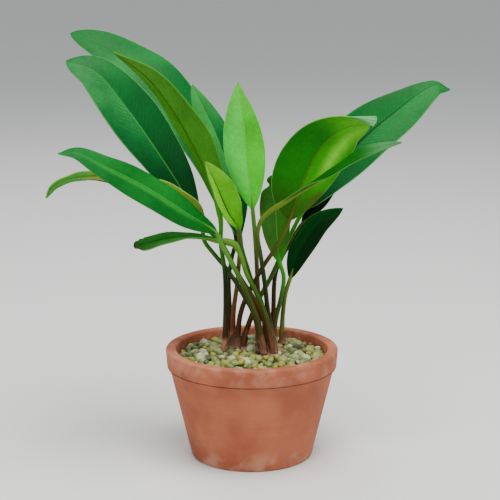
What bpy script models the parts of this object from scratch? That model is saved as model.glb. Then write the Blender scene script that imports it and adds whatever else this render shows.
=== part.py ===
"""A potted anubias: fifteen leaves on a creeping stem, bedded in gravel in a plain clay pot.

The origin is the middle of the pot's underside, +Z is up, and the plant is seen best from -Y.
Every size is in millimetres and is turned into metres where a mesh is made.
"""
import math
from dataclasses import dataclass

import bmesh
import bpy
from mathutils import Vector

MM = 0.001
GAP = 0.3
SHARP_ANGLE = math.radians(45)
WELD = 0.01

# The reference view, in which the leaves' curves are laid out
VIEW_TARGET = (-1.3, 0.0, 199.3)
VIEW_DISTANCE = 1000.0
VIEW_TILT = math.radians(9)
VIEW_SCALE = 0.65
VIEW_MIDDLE = 250.0

# The pot
POT_HEIGHT = 78.0
RIM_RADIUS = 61.0
RIM_BAND = 13.0
RIM_STEP = 2.6
RIM_DRAFT = 1.0
FOOT_RADIUS = 43.0
WALL = 5.0
FLOOR = 7.0
ROUNDING = 1.5
POT_SIDES = 32

# The gravel
GRAVEL_EDGE = 73.0
GRAVEL_CROWN = 79.0
GRAVEL_SIDES = 32
GRAVEL_RINGS = 8
HEAP_SPACING = 13.0
HOLLOW_DEPTH = 3.4

# The creeping stem, mostly under the gravel: each knob as x, y and its half width and depth
RIGHT_KNOB = (13.0, -1.0, 16.5, 22.0)
LEFT_KNOB = (-13.0, 3.5, 13.0, 12.0)
STEM_TOP = 80.5
STEM_DEPTH = 13.0
STEM_SIDES = 20
STEM_ROUNDING = 3.0
BRIDGE_RADIUS = 5.0
BRIDGE_LEVEL = 73.5
BRIDGE_SIDES = 12
BRIDGE_RINGS = 8

# The stalks and blades
STALK_FOOT = STEM_TOP + GAP
STALK_RISE = 2.0
STALK_BASE_RADIUS = 2.2
STALK_RADIUS = 1.7
STALK_TOP_RADIUS = 1.5
STALK_FLARE = 4
STALK_STEPS = 9
KEEL_END_RADIUS = 0.75
KEEL_REACH = 0.3
KEEL_DROP = 0.35
KEEL_STEPS = 3
BLADE_THICKNESS = 1.2
BLADE_CELLS_LONG = 12
BLADE_CELLS_WIDE = 4
BLADE_END_WIDTH = 0.8
PATH_STEPS = 16
HEADING_REACH = 0.01


@dataclass(frozen=True)
class Seen:
    """A point by where it is seen in the reference view, in steps of its grid, and its depth."""

    across: float
    down: float
    depth: float

    def place(self):
        """Where the line of sight through the point reaches its depth."""
        ahead = Vector((0, math.cos(VIEW_TILT), -math.sin(VIEW_TILT)))
        up = Vector((0, math.sin(VIEW_TILT), math.cos(VIEW_TILT)))
        right = Vector((1, 0, 0))
        step = VIEW_SCALE / VIEW_DISTANCE
        sight = ahead + right * (self.across - VIEW_MIDDLE) * step + up * (VIEW_MIDDLE - self.down) * step
        eye = Vector(VIEW_TARGET) - ahead * VIEW_DISTANCE
        return eye + sight * ((self.depth - eye.y) / sight.y)


@dataclass(frozen=True)
class Half:
    """One half of a blade: its greatest width and how bluntly its base and tip close."""

    width: float
    base: float
    tip: float

    def at(self, t):
        """Width from the midrib to the margin at t, 0 at the base and 1 at the tip."""
        widest = self.base / (self.base + self.tip)
        t = min(max(t, 0.0), 1.0)
        shape = (t / widest) ** self.base * ((1 - t) / (1 - widest)) ** self.tip
        return max(self.width * shape, BLADE_END_WIDTH)


@dataclass(frozen=True)
class Leaf:
    """A leaf: where its stalk stands, the stalk, the midrib, its halves and the way it faces."""

    foot: tuple
    stalk: tuple
    rib: tuple
    left: Half
    right: Half
    face: tuple
    face_tip: tuple = None
    fold: float = 12.0
    cup: float = 0.2


LEAVES = {
    "leaf_back_left": Leaf(
        foot=(-17, 9.5),
        stalk=(Seen(228, 392, 11.5), Seen(227.5, 356, 13), Seen(231, 334, 14)),
        rib=(Seen(235, 314, 15), Seen(223, 278, 22), Seen(207, 232, 34), Seen(150, 150, 48),
             Seen(122, 129, 53), Seen(93, 111, 57), Seen(60, 98, 60)),
        left=Half(19, 0.95, 0.65), right=Half(23, 0.95, 0.65),
        face=(0.5, -0.75, 0.75), face_tip=(0.2, -0.7, 0.75)),
    "leaf_big_left": Leaf(
        foot=(12, -8.5),
        stalk=(Seen(267, 408, -8.5), Seen(252, 376, -8), Seen(243, 362, -6), Seen(234, 347, -3.5),
               Seen(221.5, 323, -1), Seen(210.5, 311, 1)),
        rib=(Seen(199, 299, 2), Seen(167, 247, 8), Seen(121, 180, 12), Seen(86, 139, 14),
             Seen(55, 127, 14)),
        left=Half(20, 0.95, 0.6), right=Half(22, 0.9, 0.75), face=(0.4, -0.8, 0.6)),
    "leaf_leaning": Leaf(
        foot=(-19, -2),
        stalk=(Seen(224, 383, -4), Seen(223, 350, -7.5), Seen(219, 322, -11)),
        rib=(Seen(218, 290, -12), Seen(197, 231, -13), Seen(170, 182, -16), Seen(140, 143, -20),
             Seen(104, 117, -23)),
        left=Half(19, 0.75, 1.05), right=Half(16, 0.95, 0.9), face=(0.6, 0.6, 0.5), fold=25),
    "leaf_behind": Leaf(
        foot=(10.5, -2),
        stalk=(Seen(262, 383, 0.5), Seen(254.5, 368, 1.5), Seen(248.5, 350, 2), Seen(241, 324, 3)),
        rib=(Seen(240, 314, 4), Seen(234, 262, 9), Seen(215, 205, 15), Seen(200, 174, 19),
             Seen(189, 152, 20)),
        left=Half(13, 0.55, 0.6), right=Half(11, 0.9, 0.9), face=(0.3, -0.9, 0.3)),
    "leaf_centre": Leaf(
        foot=(5.5, 10),
        stalk=(Seen(259, 385, 11), Seen(257.5, 350, 9), Seen(256, 322, 1)),
        rib=(Seen(253, 286, -9), Seen(247, 230, -10), Seen(243, 190, -8), Seen(237.5, 149, -5)),
        left=Half(15.6, 1, 0.95), right=Half(13, 1, 1.15), face=(-0.1, -1, 0.1)),
    "leaf_low_left": Leaf(
        foot=(8.5, -14),
        stalk=(Seen(257, 399, -15), Seen(243, 366, -19), Seen(228, 337, -24), Seen(219, 320, -27)),
        rib=(Seen(215, 310, -29), Seen(182, 288, -38), Seen(140, 261, -46), Seen(95, 238, -53),
             Seen(66, 224, -56), Seen(46, 225, -56)),
        left=Half(13.5, 0.7, 0.85), right=Half(11, 0.7, 0.85), face=(0.1, -0.75, 0.7)),
    "leaf_lowest_left": Leaf(
        foot=(7, -8),
        stalk=(Seen(253, 393, -8.5), Seen(244, 377, -7.5), Seen(235, 362, -5.5), Seen(225, 347.5, -2),
               Seen(212, 332, -4), Seen(201, 317, -10)),
        rib=(Seen(199, 303, -14), Seen(189, 281, -17), Seen(163, 265, -21), Seen(125, 253, -24),
             Seen(88, 248, -24), Seen(60, 251, -23), Seen(42, 259, -22), Seen(33, 272, -21)),
        left=Half(8, 0.5, 0.65), right=Half(7.5, 0.9, 0.7), face=(-0.2, 0.65, 0.7)),
    "leaf_folded": Leaf(
        foot=(14.5, -13),
        stalk=(Seen(266, 395, -13.5), Seen(255.5, 371, -15), Seen(246, 352, -17), Seen(240, 333, -19)),
        rib=(Seen(232, 320, -20), Seen(213, 316, -20), Seen(193, 313.5, -19), Seen(165, 315, -17),
             Seen(142, 320, -16), Seen(126, 323, -15)),
        left=Half(8.5, 1.5, 0.4), right=Half(5.5, 1.3, 0.38),
        face=(0, -0.1, 1), face_tip=(0, -0.9, 0.5), fold=38),
    "leaf_young": Leaf(
        foot=(-13.5, 4),
        stalk=(Seen(232.5, 392, 4), Seen(236, 366, 3.5), Seen(238, 344, 1)),
        rib=(Seen(238, 307, -10), Seen(226, 287, -20), Seen(213, 257, -31), Seen(202, 233, -37)),
        left=Half(8, 0.9, 0.8), right=Half(13.5, 0.8, 0.85), face=(0.65, -0.76, 0), fold=35),
    "leaf_broad_right": Leaf(
        foot=(-10.4, -1),
        stalk=(Seen(239.5, 397, -1.5), Seen(246, 378, -2.5), Seen(254.5, 362, -3.5),
               Seen(264.5, 344, -4.5), Seen(280, 321, -6)),
        rib=(Seen(292, 296, -8), Seen(307, 253, -16), Seen(328, 215, -27), Seen(352, 197, -36),
             Seen(377, 194, -42)),
        left=Half(20.5, 0.8, 0.65), right=Half(23, 0.6, 1.0), face=(0.3, 0.8, 0.4)),
    "leaf_back_right": Leaf(
        foot=(-6.5, 5),
        stalk=(Seen(254, 392, 5.5), Seen(262, 375, 7), Seen(271, 359, 8.5), Seen(278.5, 343, 10),
               Seen(290, 318, 12)),
        rib=(Seen(307, 285, 13), Seen(342, 240, 20), Seen(375, 205, 26), Seen(405, 180, 31),
             Seen(436, 157, 36), Seen(449, 152, 38), Seen(462, 157, 40)),
        left=Half(25.5, 0.75, 1.25), right=Half(20, 0.75, 0.7), face=(-0.3, -0.8, 0.6)),
    "leaf_front_right": Leaf(
        foot=(15.5, -4),
        stalk=(Seen(269.5, 396, -4.5), Seen(266, 365, -8.5), Seen(261.5, 334, -12.5),
               Seen(258, 310, -16), Seen(263, 294, -19)),
        rib=(Seen(280, 280, -24), Seen(304, 264, -34), Seen(335, 247, -46), Seen(372, 225, -57),
             Seen(411, 213, -65)),
        left=Half(6.5, 0.95, 0.7), right=Half(6.5, 0.95, 0.7),
        face=(-0.4, 0.35, 1), face_tip=(-0.3, -0.9, 0.7), fold=22),
    "leaf_small_right": Leaf(
        foot=(21.5, 11),
        stalk=(Seen(285, 397, 10.5), Seen(288, 374, 8.5)),
        rib=(Seen(292.5, 359, 7), Seen(303, 329, 6), Seen(323, 300, 5), Seen(349, 283, 6)),
        left=Half(9, 0.8, 0.8), right=Half(8.5, 0.8, 0.8), face=(0, -1, 0.3)),
    "leaf_upright": Leaf(
        foot=(15, 2.5),
        stalk=(Seen(277, 404, 3), Seen(283.5, 376, 3), Seen(286, 356, 1)),
        rib=(Seen(282, 341, 0), Seen(279, 315, 2), Seen(277.5, 285, 7), Seen(277, 247, 10)),
        left=Half(11.5, 0.7, 0.45), right=Half(10, 0.7, 0.65), face=(0, -1, 0.1)),
    "leaf_hidden_right": Leaf(
        foot=(15, 9),
        stalk=(Seen(275, 392, 10), Seen(277, 354, 14), Seen(283, 337, 17), Seen(294, 318, 18)),
        rib=(Seen(305, 300, 20), Seen(317, 286, 23), Seen(333, 267, 27), Seen(346, 250, 30)),
        left=Half(8, 0.9, 0.9), right=Half(5, 0.9, 0.9), face=(-0.3, -0.8, 0.6)),
}


def blossom(control, knots, k):
    """The point at knot value k on the curve piece that four control points make."""
    spans = [
        control[i].lerp(control[i + 1], (k - knots[i]) / (knots[i + 1] - knots[i])) for i in range(3)]
    first = spans[0].lerp(spans[1], (k - knots[0]) / (knots[2] - knots[0]))
    second = spans[1].lerp(spans[2], (k - knots[1]) / (knots[3] - knots[1]))
    return first.lerp(second, (k - knots[1]) / (knots[2] - knots[1]))


def smooth_path(points):
    """A fine run of points along a smooth curve that passes through the given ones."""
    before_first = 2 * points[0] - points[1]
    after_last = 2 * points[-1] - points[-2]
    ends = [before_first, *points, after_last]
    fine = []
    for control in zip(ends, ends[1:], ends[2:], ends[3:]):
        knots = [0.0]
        for near, far in zip(control, control[1:]):
            knots.append(knots[-1] + math.sqrt((far - near).length))
        for step in range(PATH_STEPS):
            k = knots[1] + (knots[2] - knots[1]) * step / PATH_STEPS
            fine.append(blossom(control, knots, k))
    fine.append(points[-1].copy())
    return fine


class Track:
    """A run of points that can be read at any share of its length."""

    def __init__(self, points):
        self.points = points
        self.marks = [0.0]
        for near, far in zip(points, points[1:]):
            self.marks.append(self.marks[-1] + (far - near).length)

    def at(self, share):
        """The point at a share of the length, from 0 to 1."""
        wanted = min(max(share, 0.0), 1.0) * self.marks[-1]
        last = len(self.points) - 2
        index = next((i for i in range(last) if self.marks[i + 1] >= wanted), last)
        step = self.marks[index + 1] - self.marks[index]
        return self.points[index].lerp(self.points[index + 1], (wanted - self.marks[index]) / step)

    def heading(self, share):
        """The unit direction of travel at a share of the length."""
        ahead = self.at(share + HEADING_REACH)
        return (ahead - self.at(share - HEADING_REACH)).normalized()


class LeafForm:
    """The curves and the surface of one leaf, worked out from its description."""

    def __init__(self, leaf):
        self.leaf = leaf
        foot = Vector((*leaf.foot, STALK_FOOT))
        fine = smooth_path([foot] + [seen.place() for seen in leaf.stalk + leaf.rib])
        join = (1 + len(leaf.stalk)) * PATH_STEPS
        self.stalk = Track(fine[:join + 1])
        self.rib = Track(fine[join:])

    def across(self, t):
        """The directions across the blade and out of its upper side, at t along the midrib."""
        face = Vector(self.leaf.face).lerp(Vector(self.leaf.face_tip or self.leaf.face), t)
        along = self.rib.heading(t)
        side = along.cross(face).normalized()
        return side, side.cross(along).normalized()

    def surface(self, t, s):
        """A point of the blade: t runs from base to tip, s from the left margin to the right."""
        leaf = self.leaf
        side, up = self.across(t)
        width = (leaf.left if s < 0 else leaf.right).at(t)
        fold = math.radians(leaf.fold)
        rise = width * (abs(s) * math.sin(fold) - leaf.cup * s * s)
        return self.rib.at(t) + side * (width * s * math.cos(fold)) + up * rise


def clear_scene():
    """Remove whatever the file starts with."""
    for thing in list(bpy.data.objects):
        bpy.data.objects.remove(thing, do_unlink=True)


def collection(name):
    """A new collection in the scene."""
    group = bpy.data.collections.new(name)
    bpy.context.scene.collection.children.link(group)
    return group


def material(name, colour, roughness):
    """A plain surface colour."""
    made = bpy.data.materials.new(name)
    made.use_nodes = True
    shader = made.node_tree.nodes["Principled BSDF"]
    shader.inputs["Base Color"].default_value = (*colour, 1.0)
    shader.inputs["Roughness"].default_value = roughness
    shader.inputs["Metallic"].default_value = 0.0
    return made


def add_object(name, mesh, group, finish=None):
    """An object for a mesh, in a collection."""
    thing = bpy.data.objects.new(name, mesh)
    group.objects.link(thing)
    if finish:
        mesh.materials.append(finish)
    return thing


def mesh_from(bm, name):
    """A mesh with the bmesh's faces, which frees the bmesh."""
    mesh = bpy.data.meshes.new(name)
    bm.to_mesh(mesh)
    bm.free()
    return mesh


def baked(thing, name, group, finish=None):
    """A plain, smoothly shaded mesh object in the evaluated shape of another, which is removed."""
    bpy.context.view_layer.update()
    graph = bpy.context.evaluated_depsgraph_get()
    mesh = bpy.data.meshes.new_from_object(thing.evaluated_get(graph))
    bm = bmesh.new()
    bm.from_mesh(mesh)
    bmesh.ops.remove_doubles(bm, verts=bm.verts, dist=WELD * MM)
    bmesh.ops.recalc_face_normals(bm, faces=bm.faces)
    bm.to_mesh(mesh)
    bm.free()
    mesh.materials.clear()
    mesh.shade_smooth()
    mesh.set_sharp_from_angle(angle=SHARP_ANGLE)
    made = add_object(name, mesh, group, finish)
    made.matrix_world = thing.matrix_world
    bpy.data.objects.remove(thing, do_unlink=True)
    return made


def boolean(thing, tool, operation):
    """Join a tool to an object or cut it out, keeping the tool as a hidden guide."""
    step = thing.modifiers.new(operation.lower(), "BOOLEAN")
    step.operation = operation
    step.solver = "EXACT"
    step.object = tool
    tool.hide_render = True
    tool.display_type = "WIRE"


def turned(name, profile, sides, group, finish=None):
    """A turned solid from a profile of (radius, height) that starts and ends on the axis."""
    mesh = bpy.data.meshes.new(name)
    points = [(radius * MM, 0.0, height * MM) for radius, height in profile]
    mesh.from_pydata(points, [(i, i + 1) for i in range(len(points) - 1)], [])
    thing = add_object(name, mesh, group, finish)
    turn = thing.modifiers.new("turn", "SCREW")
    turn.steps = sides
    turn.render_steps = sides
    turn.use_merge_vertices = True
    turn.merge_threshold = WELD * MM
    return thing


def mouth_radius():
    """The pot's inner radius under its rim."""
    return RIM_RADIUS - RIM_STEP - WALL


def make_pot(group):
    """The clay pot: a tapered cup with a floor and a thicker band round its rim."""
    clay = material("terracotta", (0.60, 0.27, 0.15), 0.85)
    band_foot = POT_HEIGHT - RIM_BAND
    well = FOOT_RADIUS - WALL
    mouth = mouth_radius()
    inside = [
        (0, FLOOR), (well - 2 * ROUNDING, FLOOR), (well, FLOOR + 2 * ROUNDING), (mouth, band_foot),
        (mouth, POT_HEIGHT - ROUNDING)]
    rim = [
        (mouth + ROUNDING, POT_HEIGHT), (RIM_RADIUS - ROUNDING, POT_HEIGHT),
        (RIM_RADIUS, POT_HEIGHT - ROUNDING), (RIM_RADIUS - RIM_DRAFT, band_foot)]
    outside = [
        (RIM_RADIUS - RIM_STEP, band_foot), (FOOT_RADIUS, ROUNDING), (FOOT_RADIUS - ROUNDING, 0),
        (0, 0)]
    return turned("pot", inside + rim + outside, POT_SIDES, group, clay)


def mound(radius):
    """Height of the gravel's low mound at a distance from the pot's axis."""
    share = min(radius / mouth_radius(), 1.0)
    return GRAVEL_CROWN - (GRAVEL_CROWN - GRAVEL_EDGE) * share ** 2


def heaped(x, y):
    """Height of the gravel at a place: its mound, heaped and hollowed as loose grains lie."""
    turn = 2 * math.pi / HEAP_SPACING
    wave = (math.cos(turn * (x + y / 3)) + math.cos(turn * (y - x / 3))) / 2
    return mound(math.hypot(x, y)) - HOLLOW_DEPTH * (1 - wave) / 2


def make_gravel(group, guides):
    """The bed of gravel that fills the pot, with a heaped mound and a pocket for the stem."""
    stone = material("gravel", (0.62, 0.62, 0.40), 0.7)
    edge = mouth_radius() - GAP
    well = FOOT_RADIUS - WALL - GAP
    bottom = FLOOR + GAP
    top = [(edge * i / GRAVEL_RINGS, mound(edge * i / GRAVEL_RINGS)) for i in range(GRAVEL_RINGS + 1)]
    sides = [
        (edge, POT_HEIGHT - RIM_BAND), (well, bottom + 2 * ROUNDING), (well - 2 * ROUNDING, bottom),
        (0, bottom)]
    bed = baked(turned("bed", top + sides, GRAVEL_SIDES, group), "gravel", group, stone)
    for vertex in bed.data.vertices:
        x, y, z = vertex.co / MM
        if z > GRAVEL_EDGE + WELD:
            vertex.co.z = heaped(x, y) * MM
    boolean(bed, creeping_stem("stem_pocket", GAP, guides, guides), "DIFFERENCE")
    return bed


def knob(name, size, grow, group):
    """A round-edged oval knob of the creeping stem, on which leaf stalks stand."""
    x, y, half_wide, half_deep = size
    bm = bmesh.new()
    bmesh.ops.create_cone(bm, cap_ends=True, segments=STEM_SIDES, radius1=1, radius2=1, depth=1)
    spread = Vector((half_wide + grow, half_deep + grow, STEM_DEPTH + 2 * grow))
    bmesh.ops.scale(bm, vec=spread * MM, verts=bm.verts)
    bmesh.ops.translate(bm, vec=Vector((x, y, STEM_TOP - STEM_DEPTH / 2)) * MM, verts=bm.verts)
    rims = [edge for edge in bm.edges if any(len(face.verts) > 4 for face in edge.link_faces)]
    bmesh.ops.bevel(bm, geom=rims, offset=STEM_ROUNDING * MM, segments=2, affect="EDGES", profile=0.5)
    return add_object(name, mesh_from(bm, name), group)


def bridge(name, grow, group):
    """The length of creeping stem between the two knobs."""
    middle = (Vector(RIGHT_KNOB[:2]) + Vector(LEFT_KNOB[:2])) / 2
    half_length = (RIGHT_KNOB[0] - LEFT_KNOB[0]) / 2
    bm = bmesh.new()
    bmesh.ops.create_uvsphere(bm, u_segments=BRIDGE_SIDES, v_segments=BRIDGE_RINGS, radius=1)
    spread = Vector((half_length + grow, BRIDGE_RADIUS + grow, BRIDGE_RADIUS + grow))
    bmesh.ops.scale(bm, vec=spread * MM, verts=bm.verts)
    bmesh.ops.translate(bm, vec=Vector((*middle, BRIDGE_LEVEL)) * MM, verts=bm.verts)
    return add_object(name, mesh_from(bm, name), group)


def creeping_stem(name, grow, group, guides, finish=None):
    """The creeping stem: two knobs and the length between them, grown by a clearance if asked."""
    whole = knob(name, RIGHT_KNOB, grow, group)
    boolean(whole, knob(name + "_left", LEFT_KNOB, grow, guides), "UNION")
    boolean(whole, bridge(name + "_bridge", grow, guides), "UNION")
    if finish:
        whole.data.materials.append(finish)
    return whole


def make_rhizome(group, guides):
    """The creeping stem from which the leaves grow."""
    skin = material("rhizome", (0.25, 0.16, 0.10), 0.7)
    return creeping_stem("rhizome", 0.0, group, guides, skin)


def blade_sheet(name, form, group):
    """The blade as an open sheet: a grid laid on the leaf's surface, closer at its ends."""
    bm = bmesh.new()
    bmesh.ops.create_grid(bm, x_segments=BLADE_CELLS_LONG, y_segments=BLADE_CELLS_WIDE, size=1)
    for vertex in bm.verts:
        run = (vertex.co.x + 1) / 2
        eased = (1 - math.cos(math.pi * run)) / 2
        vertex.co = form.surface((run + eased) / 2, vertex.co.y) * MM
    sheet = add_object(name, mesh_from(bm, name), group)
    wall = sheet.modifiers.new("thickness", "SOLIDIFY")
    wall.thickness = BLADE_THICKNESS * MM
    wall.offset = 0.0
    return sheet


def stalk_places(form):
    """The stalk's points and radii: upright at its foot, then tapering on as the blade's keel."""
    foot = form.stalk.at(0.0)
    places = [
        (foot, STALK_BASE_RADIUS), (foot + Vector((0, 0, STALK_RISE)), STALK_BASE_RADIUS)]
    for step in range(1, STALK_STEPS + 1):
        share = step / STALK_STEPS
        flare = (STALK_BASE_RADIUS - STALK_RADIUS) * (1 - share) ** STALK_FLARE
        radius = STALK_RADIUS + (STALK_TOP_RADIUS - STALK_RADIUS) * share + flare
        places.append((form.stalk.at(share), radius))
    for step in range(1, KEEL_STEPS + 1):
        share = step / KEEL_STEPS
        t = KEEL_REACH * share
        radius = STALK_TOP_RADIUS + (KEEL_END_RADIUS - STALK_TOP_RADIUS) * share
        places.append((form.rib.at(t) - form.across(t)[1] * KEEL_DROP, radius))
    return places


def stalk_bar(name, form, group):
    """The stalk as a round bar that runs on as a keel under the blade."""
    data = bpy.data.curves.new(name, "CURVE")
    data.dimensions = "3D"
    data.bevel_depth = MM
    data.bevel_resolution = 2
    data.use_fill_caps = True
    places = stalk_places(form)
    spline = data.splines.new("POLY")
    spline.points.add(len(places) - 1)
    for point, (spot, radius) in zip(spline.points, places):
        point.co = (*(spot * MM), 1.0)
        point.radius = radius
    thing = bpy.data.objects.new(name, data)
    group.objects.link(thing)
    return thing


def make_leaf(name, leaf, group, guides):
    """One leaf: its stalk and its blade, grown together as one solid."""
    form = LeafForm(leaf)
    green = material(name, (0.10, 0.36, 0.10), 0.45)
    blade = baked(blade_sheet(name + "_sheet", form, guides), name + "_blade", guides)
    whole = baked(stalk_bar(name + "_stalk", form, guides), name, group, green)
    boolean(whole, blade, "UNION")
    return whole


def main():
    """Build the pot, the gravel, the creeping stem and its leaves."""
    clear_scene()
    plant = collection("potted_anubias")
    guides = collection("guides")
    make_pot(plant)
    make_gravel(plant, guides)
    make_rhizome(plant, guides)
    for name, leaf in LEAVES.items():
        make_leaf(name, leaf, plant, guides)


if __name__ == "__main__":
    main()
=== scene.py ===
"""Dresses the potted anubias: its fifteen leaves, the creeping stem, the gravel and the clay pot.

Every size is in millimetres and is turned into metres where a mesh is made. The origin is the
middle of the pot's underside, +Z is up and the plant is seen best from -Y.
"""
import logging
import math
import random
from collections.abc import Callable, Iterator
from contextlib import contextmanager
from dataclasses import dataclass, field
from enum import Enum
from functools import partial
from typing import Any

import bmesh
import bpy
from mathutils import Euler, Matrix, Vector


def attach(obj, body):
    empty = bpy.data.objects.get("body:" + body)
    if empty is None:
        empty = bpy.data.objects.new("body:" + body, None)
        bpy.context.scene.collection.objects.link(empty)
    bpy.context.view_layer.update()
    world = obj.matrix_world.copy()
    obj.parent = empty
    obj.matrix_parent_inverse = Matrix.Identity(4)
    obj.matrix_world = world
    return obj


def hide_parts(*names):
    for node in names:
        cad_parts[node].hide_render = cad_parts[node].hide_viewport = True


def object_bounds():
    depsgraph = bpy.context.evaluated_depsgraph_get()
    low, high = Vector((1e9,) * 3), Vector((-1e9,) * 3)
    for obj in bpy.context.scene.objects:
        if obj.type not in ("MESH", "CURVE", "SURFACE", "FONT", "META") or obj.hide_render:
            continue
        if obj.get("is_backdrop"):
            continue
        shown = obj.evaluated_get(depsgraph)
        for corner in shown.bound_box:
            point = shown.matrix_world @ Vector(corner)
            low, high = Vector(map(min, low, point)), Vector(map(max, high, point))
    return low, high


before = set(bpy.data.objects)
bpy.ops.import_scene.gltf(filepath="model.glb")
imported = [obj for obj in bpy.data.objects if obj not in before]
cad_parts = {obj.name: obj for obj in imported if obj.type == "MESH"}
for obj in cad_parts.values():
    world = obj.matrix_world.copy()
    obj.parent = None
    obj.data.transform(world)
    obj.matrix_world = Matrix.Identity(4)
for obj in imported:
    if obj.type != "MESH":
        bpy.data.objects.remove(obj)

CAD_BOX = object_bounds()
BODY = "root"
MM = 0.001
# The distance in millimetres within which points are one, the height from which on a face's
# normal points up, and the angle in degrees that leaves a piece no crisp edge.
WELD = 0.01
UPRIGHT = 0.9
SMOOTH = 180.0

# Numbers that belong together, such as a range's ends, a direction or a place on a piece's map.
Pair = tuple[float, float]
Triple = tuple[float, float, float]
# Red, green and blue as mixed on a screen, from 0 to 255.
Colour = tuple[int, int, int]
# A point by where it is seen in the reference view, in steps across and down, and its depth.
Seen = Triple
Socket = bpy.types.NodeSocket
Thing = bpy.types.Object

log = logging.getLogger("potted_anubias")


# Colours and materials

def paint(colour: Colour) -> tuple[float, ...]:
    """A colour in the linear values that shaders take, and its full cover."""
    shares = [value / 255 for value in colour]
    return (*(s / 12.92 if s <= 0.04045 else ((s + 0.055) / 1.055) ** 2.4 for s in shares), 1.0)


@dataclass(frozen=True)
class Cloud:
    """A kind of soft random blotches: how close they lie, their finer layers and their stretch."""

    scale: float
    detail: float
    stretch: Triple | None = None


class Recipe:
    """A material's nodes, added one step at a time."""

    USUAL = (0.3, 0.7)

    def __init__(self, name: str) -> None:
        """Start a new material.

        Args:
            name: The material's name.
        """
        self.made = bpy.data.materials.new(name)
        self.made.use_nodes = True
        self.tree = self.made.node_tree
        self.shader = self.tree.nodes["Principled BSDF"]

    def feed(self, node: bpy.types.Node, sources: dict[Any, Any]) -> None:
        """Link or set a node's inputs.

        Args:
            node: The node.
            sources: For each input, by name or place, the socket or the value that feeds it.
        """
        for key, source in sources.items():
            if isinstance(source, Socket):
                self.tree.links.new(source, node.inputs[key])
            elif source is not None:
                node.inputs[key].default_value = source

    def step(self, kind: str, sources: dict[Any, Any], **settings: Any) -> bpy.types.Node:
        """Add a node.

        Args:
            kind: The node's type.
            sources: What feeds each of its inputs.
            settings: The node's own settings.

        Returns:
            The node.
        """
        node = self.tree.nodes.new(kind)
        for name, value in settings.items():
            setattr(node, name, value)
        self.feed(node, sources)
        return node

    def place(self) -> Socket:
        """The point's own place on the object, in metres."""
        return self.step("ShaderNodeTexCoord", {}).outputs["Object"]

    def chart(self) -> Socket:
        """The point's place on the piece's own map."""
        return self.step("ShaderNodeUVMap", {}).outputs[0]

    def laid(self) -> tuple[Socket, Socket]:
        """How far along and how far across the piece's own map the point lies, both from 0 to 1."""
        parts = self.step("ShaderNodeSeparateXYZ", {0: self.chart()})
        return parts.outputs["X"], parts.outputs["Y"]

    def sum(self, kind: str, *terms: Any) -> Socket:
        """The result of a sum of one kind, such as ADD, on numbers or sockets."""
        return self.step("ShaderNodeMath", dict(enumerate(terms)), operation=kind).outputs[0]

    def between(self, value: Any, low: float, high: float, start: float = 0.0, end: float = 1.0) -> Socket:
        """A soft change from start to end while a value goes from low to high."""
        sources = {0: value, 1: low, 2: high, 3: start, 4: end}
        return self.step("ShaderNodeMapRange", sources, interpolation_type="SMOOTHSTEP").outputs[0]

    def toned(self, cloud: Socket, start: float, end: float) -> Socket:
        """A soft change from start to end over the values that blotches mostly have."""
        return self.between(cloud, *self.USUAL, start, end)

    def blotches(self, kind: Cloud, where: Socket | None = None) -> Socket:
        """Soft random blotches from 0 to 1.

        Args:
            kind: Their kind.
            where: The place that is read, instead of the point's own.

        Returns:
            The blotches.
        """
        place = where or self.place()
        if kind.stretch:
            place = self.step("ShaderNodeMapping", {"Vector": place, "Scale": kind.stretch}).outputs[0]
        sources = {"Vector": place, "Scale": kind.scale, "Detail": kind.detail}
        return self.step("ShaderNodeTexNoise", sources).outputs[0]

    def mixed(self, share: Any, first: Any, second: Any, blend: str = "MIX") -> Socket:
        """One colour mixed into another.

        Args:
            share: How much of the second colour.
            first: The first colour or socket.
            second: The second colour or socket.
            blend: How they are mixed.

        Returns:
            The mixed colour.
        """
        full = [paint(colour) if isinstance(colour, tuple) else colour for colour in (first, second)]
        sources = {0: share, 6: full[0], 7: full[1]}
        return self.step("ShaderNodeMix", sources, data_type="RGBA", blend_type=blend).outputs[2]

    def shaded(self, colour: Any, tone: Socket) -> Socket:
        """A colour made lighter or darker by a tone."""
        grey = self.step("ShaderNodeCombineColor", {0: tone, 1: tone, 2: tone}).outputs[0]
        return self.mixed(1.0, colour, grey, "MULTIPLY")

    def deepened(self, colour: Socket, power: float) -> Socket:
        """A colour made darker and fuller by a power."""
        return self.step("ShaderNodeGamma", {0: colour, 1: power}).outputs[0]

    def steps(self, share: Any, stops: list[tuple[float, Colour]], sharp: bool = False) -> Socket:
        """A run of colours.

        Args:
            share: The place in the run.
            stops: Each stop's place and colour.
            sharp: Whether one colour ends where the next begins, with no mixing.

        Returns:
            The colour.
        """
        node = self.step("ShaderNodeValToRGB", {0: share})
        node.color_ramp.interpolation = "CONSTANT" if sharp else "EASE"
        while len(node.color_ramp.elements) < len(stops):
            node.color_ramp.elements.new(1.0)
        for element, (spot, colour) in zip(node.color_ramp.elements, stops):
            element.position = spot
            element.color = paint(colour)
        return node.outputs[0]

    def relief(self, height: Socket, strength: float, depth: float) -> Socket:
        """The surface normal of a relief from 0 to 1 that shows by strength and is depth mm high."""
        sources = {"Strength": strength, "Distance": depth * MM, "Height": height}
        return self.step("ShaderNodeBump", sources).outputs[0]

    def finish(self, colour: Socket, roughness: Any, normal: Socket | None = None,
               gloss: float = 0.5) -> bpy.types.Material:
        """Feed the shader.

        Args:
            colour: The surface colour.
            roughness: How matt it is.
            normal: Its relief.
            gloss: How strongly it mirrors, where 0.5 is usual.

        Returns:
            The material.
        """
        self.feed(self.shader, {"Base Color": colour, "Roughness": roughness, "Normal": normal,
                                "Specular IOR Level": gloss})
        return self.made


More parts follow.
